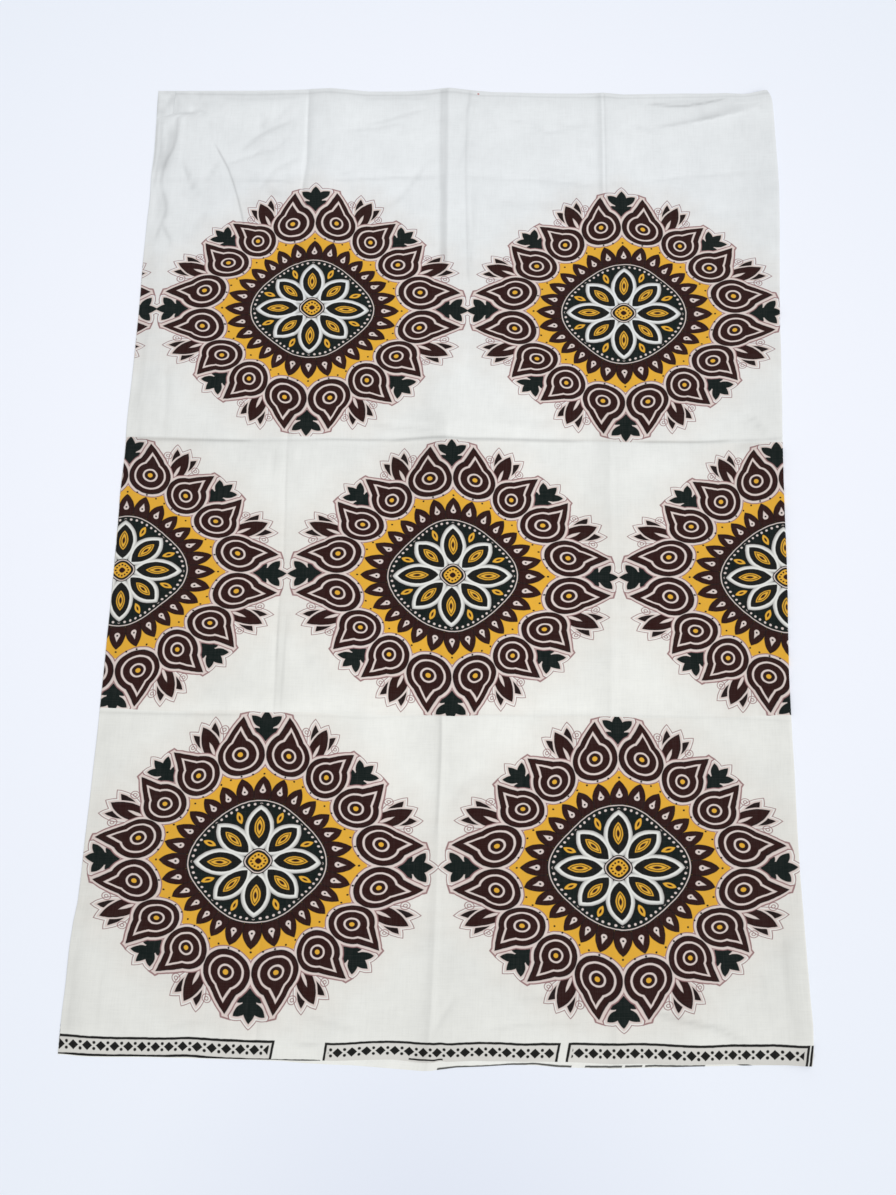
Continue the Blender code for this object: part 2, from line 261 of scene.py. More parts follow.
ALONG_FREE_END = (
    crease(-0.4, 6, 3, 0.16, 2.8, 1.3, (13.5, 967), (13, 978), (14.5, 991), (17.2, 1004.5), (22.6, 1015),
           (25.5, 1026), (27, 1040), (27.2, 1053.5), (26.8, 1065)),
    painted_shade_and_show_through(0.15, 6, 6.2, (12, 985), (16, 1008), (19.5, 1022), (21, 1036), (22, 1048)),
    painted_shade_and_show_through(0.17, 1.6, 1.8, (0.5, 990), (0.5, 1030), (0.5, 1062)),
    painted_shade_and_show_through(0.07, 1.6, 1.6, (10, 990), (10.5, 1020), (11.5, 1040)),
    painted_shade_and_show_through(-0.05, 2.8, 2.8, (17.5, 1052), (16, 1060)),
    painted_shade_and_show_through(0.08, 6, 6, (48, 1080), (64, 1080)),
    painted_shade_and_show_through(0.09, 2.4, 2.4, (45.5, 1084), (47, 1096)),
    painted_shade_and_show_through(-0.11, 4, 4, (24, 1096), (40, 1096)),
    painted_shade_and_show_through(-0.045, 3, 3, (30, 1074.5), (45, 1074)),
    crease(-0.4, 4, 5, 0.19, 2.2, 2.8, (18, 919), (20.7, 928), (21.4, 938), (19.8, 947), (16.3, 957.5),
           (13.5, 967)),
    painted_shade_and_show_through(0.085, 4.6, 4.6, (14, 925), (15.5, 940), (13, 958)),
    fold(-0.2, 4, 4, 0.17, 2.6, 2.6, (12.6, 898.6), (15, 908.5), (18, 919)),
    fold(-0.3, 4, 4, 0.15, 2.4, 2.6, (33.5, 891.5), (25.5, 905), (18, 919)),
    painted_shade_and_show_through(-0.05, 3.2, 3.2, (6.5, 915), (5, 960)),
    fold(0.3, 5, 5, 0.11, 1.8, 1.8, (4, 968), (6, 990), (7.5, 1020), (6.5, 1050), (6, 1062)),
    painted_shade_and_show_through(-0.03, 2, 3, (11, 1000), (13, 1030), (13, 1060)),
    fold(-0.3, 5, 5, 0.19, 1.8, 2.2, (12.5, 1066.5), (22.3, 1068.5), (35.7, 1067), (46, 1066.5)),
    fold(-0.3, 3, 3, 0.11, 1.6, 1.8, (38, 1070), (47.7, 1072), (58, 1066)),
    fold(-0.3, 3, 3, 0.08, 1.6, 1.6, (23, 1052), (26, 1060), (34, 1066.5)),
    fold(0.4, 4, 5, 0.04, 2, 2, (10, 660), (13, 719), (13, 781)),
    fold(0.3, 3, 4, 0.03, 2, 2, (8, 15), (6, 95)),
    painted_shade_and_show_through(0.08, 8, 6, (2, 28), (16, 32)),
    fold(-0.3, 4, 4, 0.04, 2.6, 2.6, (8.5, 30), (8.5, 110)),
    fold(-0.3, 4, 4, 0.04, 2.6, 2.6, (14, 600), (14.5, 700)),
    fold(-0.3, 4, 4, 0.06, 3, 5, (44, 655), (45, 700), (40, 740)),
)
LEFT_TOP_PANEL = (
    crease(-0.4, 3, 2, 0.24, 1.3, 1, (120, 905), (112.8, 933), (108.1, 949), (100.1, 973.5), (92.9, 992),
           (84.7, 1006.6), (75, 1024)),
    fold(-0.5, 3.5, 4.5, 0.15, 2.6, 3, (58, 956.5), (49.7, 970.6), (43.8, 984), (37.5, 1000)),
    fold(-0.3, 3, 4, 0.1, 2.8, 2.8, (67, 973), (74.7, 988), (82.5, 1004)),
    fold(-0.5, 4, 5.5, 0.13, 2.6, 3.4, (109, 1016), (123.3, 1032.3), (132.7, 1039.1), (146.8, 1047.1),
         (166, 1055.5)),
    fold(-0.3, 3, 4, 0.09, 1.8, 2.6, (92, 997), (109.1, 1004), (121, 1008), (134.5, 1018)),
    fold(-0.3, 3, 4, 0.06, 2, 2.6, (121, 1008), (132.8, 1013.3), (149.6, 1017.1), (164, 1036)),
    fold(-0.3, 2.5, 2.5, 0.11, 2.6, 2.6, (137, 1063), (131.2, 1050), (133.5, 1040.5)),
    fold(-0.2, 2.5, 2.5, 0.1, 1.2, 1.8, (108, 976.5), (140, 976.5), (175, 973)),
    painted_shade_and_show_through(0.08, 4.5, 4.5, (140, 960), (164, 956)),
    painted_shade_and_show_through(0.06, 4.5, 4.5, (119, 947), (140, 942)),
    painted_shade_and_show_through(0.06, 7, 7, (49, 908), (50, 898)),
    painted_shade_and_show_through(0.04, 2.6, 2.6, (67, 1058), (69, 1038)),
    painted_shade_and_show_through(-0.045, 3, 3, (34, 1085), (33, 1000)),
    fold(-0.4, 3.5, 4.5, 0.045, 2.4, 2.4, (124, 1075), (138, 1044), (163, 1080)),
    fold(-0.4, 4.5, 6, 0.06, 3, 5, (60, 905), (72, 935), (70, 960)),
    fold(-0.3, 4, 4, 0.06, 2.4, 4, (130, 960), (150, 990), (178, 1005)),
    painted_shade_and_show_through(-0.04, 0.9, 1.2, (183.8, 840), (181.8, 967), (183.8, 1049), (182.8, 1130)),
)
OTHER_TOP_PANELS = (
    painted_shade_and_show_through(0.075, 4, 4, (356, 850), (353.5, 961), (352, 1000), (351.2, 1050), (350, 1130)),
    painted_shade_and_show_through(0.06, 4, 4, (380, 1092), (386, 1084), (380, 1074)),
    fold(0.9, 12, 14, 0, 2, 2, (205, 930), (214, 1000), (222, 1060), (226, 1130)),
    fold(-0.4, 4, 5, 0.075, 2.2, 2.8, (236, 1042), (250, 1043.5), (266.6, 1046), (289.4, 1051.7),
         (300, 1054)),
    fold(-0.5, 3, 5, 0.085, 2.2, 3, (259, 1051.5), (282, 1058), (305, 1067), (326, 1072)),
    painted_shade_and_show_through(-0.085, 7, 7, (248, 1054), (250, 1059)),
    fold(-0.2, 3, 3, 0.12, 2.2, 2.2, (229, 983), (241, 986.5)),
    fold(-0.4, 4, 4, 0.085, 2.8, 3.2, (331, 999), (320, 979), (304.5, 956), (289, 941)),
    painted_shade_and_show_through(0.05, 10, 6, (195, 1088), (193, 1060)),
    fold(-0.2, 3, 3, 0.06, 2.4, 2.4, (377.5, 1028), (373.7, 1007), (369.3, 989)),
    painted_shade_and_show_through(-0.04, 1.2, 1.2, (378.5, 1068), (379.2, 1044)),
    fold(-0.2, 3, 3, 0.07, 2, 2.4, (428, 1060.5), (453, 1055.5)),
    fold(-0.3, 3, 3, 0.075, 2.2, 2.6, (460, 1051), (475, 1042.5), (490, 1045), (502, 1044)),
    fold(-0.2, 3, 3, 0.055, 2.2, 2.6, (488, 1056), (506, 1050), (518, 1054)),
    fold(-0.2, 3, 3, 0.05, 2, 2.6, (573, 1058), (604, 1046), (614, 1042)),
    fold(-0.2, 3, 4, 0.08, 1.4, 2, (215, 973.6), (259, 978), (297, 981.2), (345, 979.3)),
    fold(-0.2, 3, 4, 0.07, 1.4, 2.2, (383, 981), (444, 979), (491, 976.5), (530, 972)),
    fold(-0.2, 3, 4, 0.05, 1.6, 2.4, (605, 980), (650, 988), (720, 990)),
    crease(-0.2, 2, 2, 0.07, 1.2, 1.4, (388.5, 1000), (388.8, 950), (388.5, 860)),
    painted_shade_and_show_through(-0.06, 4, 4, (395, 1095.5), (535, 1095.5)),
    painted_shade_and_show_through(0.07, 2, 2, (250, 1090), (300, 1091), (330, 1089)),
    painted_shade_and_show_through(0.06, 2.6, 2.6, (75, 1089), (115, 1088), (170, 1090)),
    painted_shade_and_show_through(0.06, 3, 3, (80, 1086), (81, 1076)),
)
RIGHT_TOP_PANELS = (
    painted_shade_and_show_through(-0.08, 4, 4, (560, 1095.5), (740, 1095.5)),
    crease(-0.5, 3, 3, 0.28, 1.6, 1.8, (600, 1086), (626, 1083.8), (644.2, 1083.1), (662.5, 1086.4),
           (692, 1093)),
    painted_shade_and_show_through(0.06, 3, 3, (620, 1089), (650.6, 1089), (680, 1093.5)),
    fold(0.8, 6, 10, 0, 2, 2, (606, 1047), (658, 1060), (704, 1073), (735, 1082)),
    painted_shade_and_show_through(0.12, 3.2, 1.4, (609, 1051.5), (637.3, 1057), (664, 1063), (688, 1068)),
    painted_shade_and_show_through(0.125, 12.5, 1.2, (654, 1060.8), (680, 1066.2), (702, 1071.5), (716, 1075.5)),
    painted_shade_and_show_through(-0.045, 1.2, 2.6, (648, 1056.5), (673.7, 1062), (722, 1073.5)),
    painted_shade_and_show_through(0.17, 4, 4, (705, 1092), (712.5, 1090)),
    fold(-0.3, 3, 3, 0.06, 2, 2, (716, 1088), (742, 1074)),
    painted_shade_and_show_through(-0.05, 2, 2, (696, 1089), (706, 1086), (730, 1085)),
    fold(-0.4, 6, 6, 0.04, 6, 6, (410, 945), (521, 947)),
    fold(-0.4, 8, 8, 0.02, 5, 5, (590, 930), (660, 940), (730, 932)),
)
ALONG_FOLD_AND_PRINTED_SELVAGE = (
    fold(-0.6, 6, 8, 0.038, 8, 5, (739, 20), (733, 60), (730, 125)),
    fold(-0.3, 3, 4, 0.048, 2, 2.6, (728, 125), (729, 80), (734, 35)),
    fold(-0.4, 3, 4, 0.11, 2.6, 2.6, (704, 682), (716, 677), (722.5, 668), (728.5, 658)),
    fold(-0.2, 3, 4, 0.07, 2.4, 2.4, (700, 675), (714, 671)),
    fold(-0.3, 3, 4, 0.04, 2, 2, (688, 657), (719, 652)),
    fold(-0.5, 4, 6, 0.11, 2.2, 3, (583, 55), (602, 48), (625, 41.5), (652, 36), (668, 29.5), (686, 22)),
    fold(-0.3, 3, 4, 0.05, 2.2, 2.6, (602, 50), (636, 38), (672, 35)),
    fold(-0.3, 4, 4, 0.05, 3, 3, (452, 63), (524, 60)),
    fold(-0.4, 4, 5, 0.065, 2.2, 2.6, (428, 31), (460, 37), (500, 39), (522, 36)),
    fold(-0.3, 4, 5, 0.06, 2.6, 3, (397, 64), (385, 46), (374, 26)),
    fold(-0.4, 5, 5, 0.05, 3, 3, (711, 40), (700, 88)),
    fold(-0.3, 4, 5, 0.05, 2.6, 3, (700, 101), (718, 105), (736, 110)),
    fold(-0.3, 4, 5, 0.055, 2.6, 3, (103, 26), (126, 32), (150, 35.5)),
    fold(-0.3, 3, 4, 0.07, 2.6, 3, (214, 60), (232, 50)),
    fold(-0.3, 4, 5, 0.07, 2.6, 3, (240, 44), (268, 36), (300, 29.5)),
    fold(-0.3, 4, 5, 0.045, 3, 3, (338, 92), (331, 62)),
    painted_shade_and_show_through(0.13, 2, 2, (236, 14.5), (264, 15.5)),
)
LOWER_PANELS = (
    painted_shade_and_show_through(-0.05, 50, 50, (455, 280), (460, 730)),
    painted_shade_and_show_through(-0.045, 50, 50, (310, 240), (300, 440)),
    painted_shade_and_show_through(-0.03, 40, 40, (600, 360), (620, 640)),
    painted_shade_and_show_through(-0.03, 35, 35, (330, 100), (345, 130)),
    painted_shade_and_show_through(-0.035, 25, 15, (680, 630), (740, 636)),
    painted_shade_and_show_through(0.09, 1.6, 1.6, (196.5, 450), (196, 400), (196.5, 345)),
    painted_shade_and_show_through(0.07, 1.6, 1.6, (187, 452), (188, 395)),
    painted_shade_and_show_through(-0.05, 2.2, 2.2, (201, 450), (202.5, 360)),
    painted_shade_and_show_through(0.012, 2.4, 2.4, (192.5, 450), (192.5, 360)),
    painted_shade_and_show_through(0.11, 2, 1.2, (370.2, 225), (370.6, 285), (370.4, 320), (369.6, 347)),
    painted_shade_and_show_through(-0.03, 2.4, 2.4, (375, 30), (376.5, 150)),
    painted_shade_and_show_through(-0.032, 12, 12, (385, 665), (385, 760)),
    painted_shade_and_show_through(0.028, 8, 8, (344, 665), (344, 740)),
    painted_shade_and_show_through(-0.018, 20, 20, (578, 360), (578, 440)),
    painted_shade_and_show_through(-0.024, 10, 4, (230, 356), (330, 360), (500, 358), (700, 356)),
    painted_shade_and_show_through(-0.018, 7, 7, (290, 660), (530, 660)),
    fold(-0.3, 3, 4, 0.045, 1.6, 2.2, (-10, 325), (30, 324.5), (105, 325)),
    painted_shade_and_show_through(0.07, 1.8, 2.2, (10, 284.5), (32, 285)),
    painted_shade_and_show_through(0.04, 1.8, 2.2, (15, 276), (40, 277)),
    painted_shade_and_show_through(0.04, 2.2, 2.2, (37, 30), (37, 80)),
    painted_shade_and_show_through(0.035, 2.2, 2.2, (86, 28), (86, 62)),
    fold(-0.2, 3, 3, 0.045, 1.6, 2, (240, 327), (270, 330), (320, 329)),
    fold(-0.3, 3, 4, 0.07, 2.6, 3, (278, 669), (315, 665), (352, 661)),
    painted_shade_and_show_through(-0.035, 3, 3, (285, 674), (320, 671), (354, 668)),
    fold(-0.3, 3, 4, 0.04, 2.6, 3, (430, 674), (505, 671.5)),
    painted_shade_and_show_through(-0.035, 3, 3, (375, 669), (460, 666.5)),
    fold(-0.3, 3, 4, 0.07, 2, 2, (173, 635), (172.5, 605)),
    painted_shade_and_show_through(-0.04, 1.6, 1.6, (166.5, 635), (166, 605)),
    painted_shade_and_show_through(-0.04, 1.6, 1.6, (197, 640), (197, 605)),
    painted_shade_and_show_through(0.06, 7, 7, (288, 615), (305, 622), (325, 635)),
    painted_shade_and_show_through(0.06, 11, 11, (14, 700), (30, 740)),
    painted_shade_and_show_through(0.03, 12, 12, (105, 366), (160, 376)),
    fold(-0.3, 3, 4, 0.05, 3, 3, (382, 250), (396, 270), (415, 280)),
    painted_shade_and_show_through(0.045, 30, 20, (380, -40), (378, 140)),
    painted_shade_and_show_through(0.07, 30, 6, (358, 560), (358, 690)),
    painted_shade_and_show_through(0.03, 20, 16, (545, 500), (545, 680)),
    painted_shade_and_show_through(0.04, 10, 10, (214, 570), (230, 580)),
    painted_shade_and_show_through(0.09, 4.4, 4.4, (222, 417), (232, 414)),
    painted_shade_and_show_through(0.09, 5, 5, (221, 401), (231, 396)),
    painted_shade_and_show_through(0.05, 12, 12, (590, 592), (606, 598)),
    painted_shade_and_show_through(0.04, 11, 11, (534, 402), (548, 406)),
    fold(-0.3, 5, 5, 0.015, 3, 3, (187, 420), (191, 356)),
    fold(0.3, 6, 6, 0, 3, 3, (200, 430), (203, 350)),
)
FOLDS = (*SELVAGE_TO_SELVAGE, *END_TO_FOLD, *ALONG_FREE_END, *LEFT_TOP_PANEL, *OTHER_TOP_PANELS,
         *RIGHT_TOP_PANELS, *ALONG_FOLD_AND_PRINTED_SELVAGE, *LOWER_PANELS)
REACH = 3.0  # how many widths away a fold still tells
TAPER = 14.0  # over which a fold runs out at an end that is inside the cloth
END_SHARE = 0.25  # and what is left of it at the very end
PUCKER_HEIGHT = 0.35
PUCKER_SIZE = 55.0
RUMPLE_HEIGHT = 0.10
RUMPLE_SIZE = 16.0
SOFTEST = Vector((100.0, 1020.0, 0.0))  # the middle of the panel that was handled most
SOFT_REACH = 130.0
SOFTENING = 1.6  # how many times more rumpled it is there
RELIEF_LEVEL = 4.0  # the level in the noise at which the cloth lies
EDGE_CALM = 0.4  # the share of the relief that is smoothed away along a free edge

# Painted shade in the margins, darker towards each edge and in a line just below the plain selvage: shares
# of its paleness, by the distance from each edge
PLAIN_SELVAGE_SHADES = ((0, 0.92), (1.5, 0.935), (4, 0.8), (6, 0.915), (12, 0.975), (24, 1.0))
PRINTED_SELVAGE_SHADES = ((0, 0.955), (100, 0.955), (240, 0.98), (340, 1.0))
FREE_END_SHADES = ((0, 0.93), (4, 0.95), (20, 0.955), (60, 0.96), (150, 0.98), (240, 1.0))
FOLD_SHADES = ((0, 0.88), (1.2, 0.95), (6, 0.965), (40, 0.97), (90, 0.983), (160, 1.0))


def fold_effect(one, across, along):
    """The height that one fold adds at a point of the flat cloth, and the light its mark takes there."""
    reach = max(one.left, one.right, one.mark_left, one.mark_right) * REACH
    xs, ys = zip(*one.points)
    if not (min(xs) - reach < across < max(xs) + reach and min(ys) - reach < along < max(ys) + reach):
        return 0.0, 0.0
    nearest, gone, passed, on_left = reach, 0.0, 0.0, True
    for start, end in zip(one.points, one.points[1:]):
        run_x, run_y = end[0] - start[0], end[1] - start[1]
        length = hypot(run_x, run_y)
        share = ((across - start[0]) * run_x + (along - start[1]) * run_y) / (length * length)
        share = min(max(share, 0.0), 1.0)
        away = hypot(across - start[0] - run_x * share, along - start[1] - run_y * share)
        if away < nearest:
            nearest, gone = away, passed + length * share
            on_left = run_x * (along - start[1]) - run_y * (across - start[0]) > 0
        passed += length
    ease = min(END_SHARE + min(gone, passed - gone) / TAPER, 1.0)
    distance = nearest / (one.left if on_left else one.right)
    height = one.height * (exp(-distance) if one.sharp else exp(-distance * distance))
    mark = one.mark * exp(-((nearest / (one.mark_left if on_left else one.mark_right)) ** 2))
    return height * ease, mark * ease


def edge_shade(x, y):
    """The share of its paleness that the painted shade of the margins leaves a point of the upper half."""
    share = straight(PLAIN_SELVAGE_SHADES, LENGTH - y) * straight(PRINTED_SELVAGE_SHADES, y)
    return share * straight(FREE_END_SHADES, x) * straight(FOLD_SHADES, straight(FOLD_LINE, y) - x)


def upper_surface(x, y):
    """The height of the upper half's outer face, and the share of the light that its painted shade and marks
    leave it.
    """
    at_fold = exp(-(((straight(FOLD_LINE, y) - x) / FOLD_REACH) ** 2))
    at_edge = exp(-((min(x, y, LENGTH - y) / EDGE_SETTLE) ** 2))
    upright_marks = [straight(path, y) for path in (QUARTER_LEFT, CENTRE, QUARTER_RIGHT)]
    level_marks = [straight(path, x) for path in (LOW, MIDWAY, HIGH)]
    height = PANEL_LEVEL + PANEL_SWELL * swell(x, upright_marks, WIDTH) * swell(y, level_marks, LENGTH)
    spot = Vector((x, y, RELIEF_LEVEL))
    softness = 1 + SOFTENING * exp(-(((spot - SOFTEST).length / SOFT_REACH) ** 2))
    relief = PUCKER_HEIGHT * noise.noise(spot / PUCKER_SIZE)
    relief += RUMPLE_HEIGHT * softness * noise.noise(spot / RUMPLE_SIZE)
    left = 1.0
    for one in FOLDS:
        risen, taken = fold_effect(one, x, y)
        relief += risen
        left -= taken
    height += relief * (1 - at_edge * EDGE_CALM)
    height += (EDGE_LEVEL - PANEL_LEVEL) * at_edge
    height = max(height + (FOLD_HEIGHT - height) * at_fold, EDGE_LEVEL)
    return height, left * edge_shade(x, y)


# The cloth's mesh
# One sheet runs from the upper free end over the panels, down round the fold and back under itself to the
# other free end, which lies level with the first. Its map is the flat cloth, in metres.

MILLIMETRES = 1000.0  # in a metre
COTTON = 0.28  # the cloth's thickness
Guide = namedtuple("Guide", "path step")  # a line of the sheet, and the step between its lines from there on
ONE_STEP = None  # where the next guide is the next line
BESIDE_CREASE = (-8.0, -4.5, -2.4, -1.1, 0.0, 1.1, 2.4, 4.5, 8.0)
BESIDE_BENT_CREASE = (-4.0, -2.4, -1.2, 0.0, 1.2, 2.4, 4.0)
BESIDE_QUARTER_LEFT = (*BESIDE_CREASE[:7], 4.2, 6.0, 7.6, 9.0, 11.0)
BESIDE_CENTRE = (-15.0, -11.0, -8.5, -6.8, -5.4, -4.0, -2.6, -1.4, -0.5, 0.4, 1.2, 2.2, 3.6, 5.5, 7.5)
BESIDE_CENTRE_RIGHT = (-2.0, -0.9, 0.0, 0.9, 2.2, 4.5, 8.0)
BESIDE_QUARTER_RIGHT = (-12.0, -8.5, -5.5, -3.5, -1.8, -0.6, 0.6, 1.8, 3.0, 4.0, 5.0, 6.4, 9.0, 13.0)
BELOW_PLAIN_SELVAGE = (11.0, 8.5, 6.8, 5.4, 4.2, 3.1, 2.1, 1.1, 0.0)
UNDER_CREASE = (4.0, 1.3, 0.0, -1.3, -4.0)  # from the fold back to the free end
UNDER_STEP = 24.0
FOLD_RADIUS = FOLD_HEIGHT / 2
TURN_STEPS = 8
UNDER_MARKS = 0.6  # how strongly the painted shade of the pressed creases darkens the under half
UNDER_SHADES = ((0, 0.93), (10, 0.95), (40, 0.96), (80, 1.0))  # painted shade that darkens it from its plain selvage on
# the painted shade of the folds and edges in the corner of the under half that the upper one leaves bare
BARE_CORNER = (
    painted_shade_and_show_through(0.17, 2.6, 7, (10, 1076), (16, 1086), (20.5, 1099)),
    painted_shade_and_show_through(0.22, 2.2, 2.2, (-0.5, 1060), (0, 1098)),
    painted_shade_and_show_through(0.14, 5, 5, (7, 1060), (5, 1080)),
    painted_shade_and_show_through(0.13, 2.6, 2.6, (3, 1096.5), (20, 1098.5)),
    painted_shade_and_show_through(0.11, 2.6, 2.6, (4, 1085), (8, 1086)),
)


def even(at, step=ONE_STEP):
    """A line of the sheet that keeps its distance from the edge."""
    return Guide(((0.0, at), (1.0, at)), step)


def along_crease(path, step, offsets=BESIDE_CREASE):
    """Lines close beside each other along a crease."""
    lines = [Guide(tuple((at, middle + away) for at, middle in path), ONE_STEP) for away in offsets]
    return [*lines[:-1], Guide(lines[-1].path, step)]


UPPER_COLUMNS = (
    even(0.0),
    even(1.5),
    even(3.5, 2.1),
    even(45.0, 4.5),
    *along_crease(SHARP_CURVE, 4.5, BESIDE_BENT_CREASE),
    *along_crease(QUARTER_LEFT, 4.8, BESIDE_QUARTER_LEFT),
    even(218.0, 6.5),
    *along_crease(CENTRE, 2.7, BESIDE_CENTRE),
    *along_crease(CENTRE_RIGHT, 7.0, BESIDE_CENTRE_RIGHT),
    *along_crease(QUARTER_RIGHT, 6.2, BESIDE_QUARTER_RIGHT),
    *along_crease(FOLD_LINE, ONE_STEP, (-15.0, -11.0, -7.5, -4.5, -FOLD_RADIUS)),
)
UNDER_COLUMNS = (
    *along_crease(FOLD_LINE, UNDER_STEP, (-FOLD_RADIUS,)),
    *along_crease(QUARTER_RIGHT, UNDER_STEP, UNDER_CREASE),
    *along_crease(CENTRE, UNDER_STEP, UNDER_CREASE),
    *along_crease(QUARTER_LEFT, UNDER_STEP, UNDER_CREASE),
    even(26.0, 2.4),
    even(2.0),
    even(0.0),
)
ROWS = (
    even(0.0),
    even(1.5),
    even(3.5, 3.0),
    even(22.0, 3.6),
    even(66.0, 9.8),
    *along_crease(LOW, 9.8),
    *along_crease(MIDWAY, 4.8),
    even(690.0, 9.8),
    even(895.0, 3.1),
    *(even(LENGTH - away) for away in BELOW_PLAIN_SELVAGE),
)


def sheet_lines(guides):
    """The sheet's lines, each as the paths of the guides beside it and its share of the way between them."""
    lines = []
    for here, there in zip(guides, guides[1:]):
        gap = abs(there.path[0][1] - here.path[0][1]) + abs(there.path[-1][1] - here.path[-1][1])
        steps = 1 if here.step is ONE_STEP else max(1, round(gap / 2 / here.step))
        lines += [(here.path, there.path, step / steps) for step in range(steps)]
    return [*lines, (guides[-1].path, guides[-1].path, 0.0)]


def line_at(line, at):
    """How far over a line of the sheet is at a place along it."""
    here, there, share = line
    start = straight(here, at)
    return start + (straight(there, at) - start) * share


columns = sheet_lines(UPPER_COLUMNS)
under_columns = sheet_lines(UNDER_COLUMNS)[1:]
rows = sheet_lines(ROWS)


def crossing(column, row):
    """Where a column and a row of the sheet cross on the flat cloth."""
    x, y = WIDTH / 2, LENGTH / 2
    for _ in range(4):
        x, y = line_at(column, y), line_at(row, x)
    return x, y


def sheet_point(column, row):
    """Where a point of the sheet lies, where it is on the flat cloth, and its share of the light."""
    if column < len(columns):
        x, y = crossing(columns[column], rows[row])
        height, light = upper_surface(x, y)
        return (*place(*drawn_in(x / WIDTH, y / LENGTH)), height), (x, y), light
    step = column - len(columns) + 1
    if step <= TURN_STEPS:
        x, y = crossing(columns[-1], rows[row])
        angle = pi * step / TURN_STEPS
        start_x, laid_y = place(*drawn_in(x / WIDTH, y / LENGTH))
        turned_x = start_x + FOLD_RADIUS * sin(angle)
        turned_height = FOLD_RADIUS + FOLD_RADIUS * cos(angle)
        # the turn takes the painted shade of the fold's very edge
        return (turned_x, laid_y, turned_height), (x + FOLD_RADIUS * angle, y), FOLD_SHADES[0][1]
    x, y = crossing(under_columns[step - TURN_STEPS - 1], rows[row])
    turn_start = straight(FOLD_LINE, y) - FOLD_RADIUS
    at_fold = exp(-(turn_start - x) / WIDTH / INSET_EASE)
    _, edge_along = drawn_in(1.0, y / LENGTH)
    laid = place(x / WIDTH, y / LENGTH + (edge_along - y / LENGTH) * at_fold)
    flat_x = 2 * turn_start + pi * FOLD_RADIUS - x
    # the painted shade of the pressed creases and of the bare corner, as the under half lies flat
    marks = sum(fold_effect(one, x, y)[1] for one in SELVAGE_TO_SELVAGE)
    corner_marks = sum(fold_effect(one, x, y)[1] for one in BARE_CORNER)
    share = 1 - marks * UNDER_MARKS - corner_marks
    return (*laid, 0.0), (flat_x, y), share * straight(UNDER_SHADES, LENGTH - y)


column_count = len(columns) + TURN_STEPS + len(under_columns)
sheet = bmesh.new()
bmesh.ops.create_grid(sheet, x_segments=column_count - 1, y_segments=len(rows) - 1, size=0.5)
light_share = sheet.verts.layers.float.new("light_share")
flat_places = {}
for vert in sheet.verts:
    column = round((vert.co.x + 0.5) * (column_count - 1))
    row = round((vert.co.y + 0.5) * (len(rows) - 1))
    spot, flat_places[vert], vert[light_share] = sheet_point(column, row)
    vert.co = [size / MILLIMETRES for size in spot]
for edge in sheet.edges:
    edge.smooth = not edge.is_boundary
flat_map = sheet.loops.layers.uv.new("cloth")
for face in sheet.faces:
    face.smooth = True
    for loop in face.loops:
        loop[flat_map].uv = [size / MILLIMETRES for size in flat_places[loop.vert]]
cloth_mesh = bpy.data.meshes.new("wrapper cloth")
sheet.to_mesh(cloth_mesh)
sheet.free()
cloth = bpy.data.objects.new("wrapper_cloth_sheet", cloth_mesh)
bpy.context.scene.collection.objects.link(cloth)
wall = cloth.modifiers.new("thickness", "SOLIDIFY")
wall.thickness = COTTON / MILLIMETRES
wall.offset = -1.0
wall.material_offset = 1

# The print
# The cotton is roller printed with rosettes in staggered rows, in maroon, yellow and dark green inks with
# pale pink outlines. A ruled band runs along one selvage. The inks go half way through the cloth.

MAROON = (0.0240, 0.0048, 0.0038, 1.0)
MAROON_RIM = (0.0110, 0.0040, 0.0040, 1.0)
PALE_PINK = (0.720, 0.625, 0.590, 1.0)
HAIRLINE = (0.300, 0.160, 0.165, 1.0)
YELLOW = (0.760, 0.411, 0.040, 1.0)
DARK_GREEN = (0.0028, 0.0080, 0.0072, 1.0)
BLACK = (0.0060, 0.0065, 0.0060, 1.0)
DOVE_GREY = (0.400, 0.395, 0.385, 1.0)
INK_HAZE = (0.690, 0.600, 0.520, 1.0)
INK_EDGE = 0.35  # half the width over which an ink fades at its edge

ROW_HEIGHTS = (808.0, 495.0, 190.0)  # the middles of the rows above the printed selvage, from the top
ROW_PITCHES = (364.0, 367.0, 376.5)  # from rosette to rosette, wider where the cloth was smoothed out more
ROW_STARTS = (203.7, 376.7, 184.6)  # the middle of one rosette of each row, from the free end
ROW_BORDERS = (651.0, 344.0)
ROSETTE_STRETCH = 1.17  # how much wider than high a rosette is
ROSETTE_SLANT = 0.02  # how far it leans over, as a share of its height
ROSETTE_CORNERS = 0.05  # how far it bulges between its four points

rosettes = bpy.data.node_groups.new("rosette print", "ShaderNodeTree")
rosettes.interface.new_socket("Place", in_out="INPUT", socket_type="NodeSocketVector")
rosettes.interface.new_socket("Cloth", in_out="INPUT", socket_type="NodeSocketColor")
rosettes.interface.new_socket("Colour", in_out="OUTPUT", socket_type="NodeSocketColor")


def plug(tree, value, socket):
    """Gives a node's socket its value, which is a number, a colour or another node's socket."""
    if isinstance(value, bpy.types.NodeSocket):
        tree.links.new(value, socket)
    else:
        socket.default_value = value


def reckon(tree, operation, *values, kind="ShaderNodeMath"):
    """A node that works out its result from the values."""
    node = tree.nodes.new(kind)
    node.operation = operation
    for socket, value in zip(node.inputs, values):
        plug(tree, value, socket)
    return node.outputs[0]


def draw(operation, *values):
    """A node of the rosette print that works out one number."""
    return reckon(rosettes, operation, *values)


def span(out, side):
    """The distance of a point from the middle of its own small place."""
    squares = draw("MULTIPLY_ADD", out, out, draw("MULTIPLY", side, side))
    return draw("SQRT", squares)


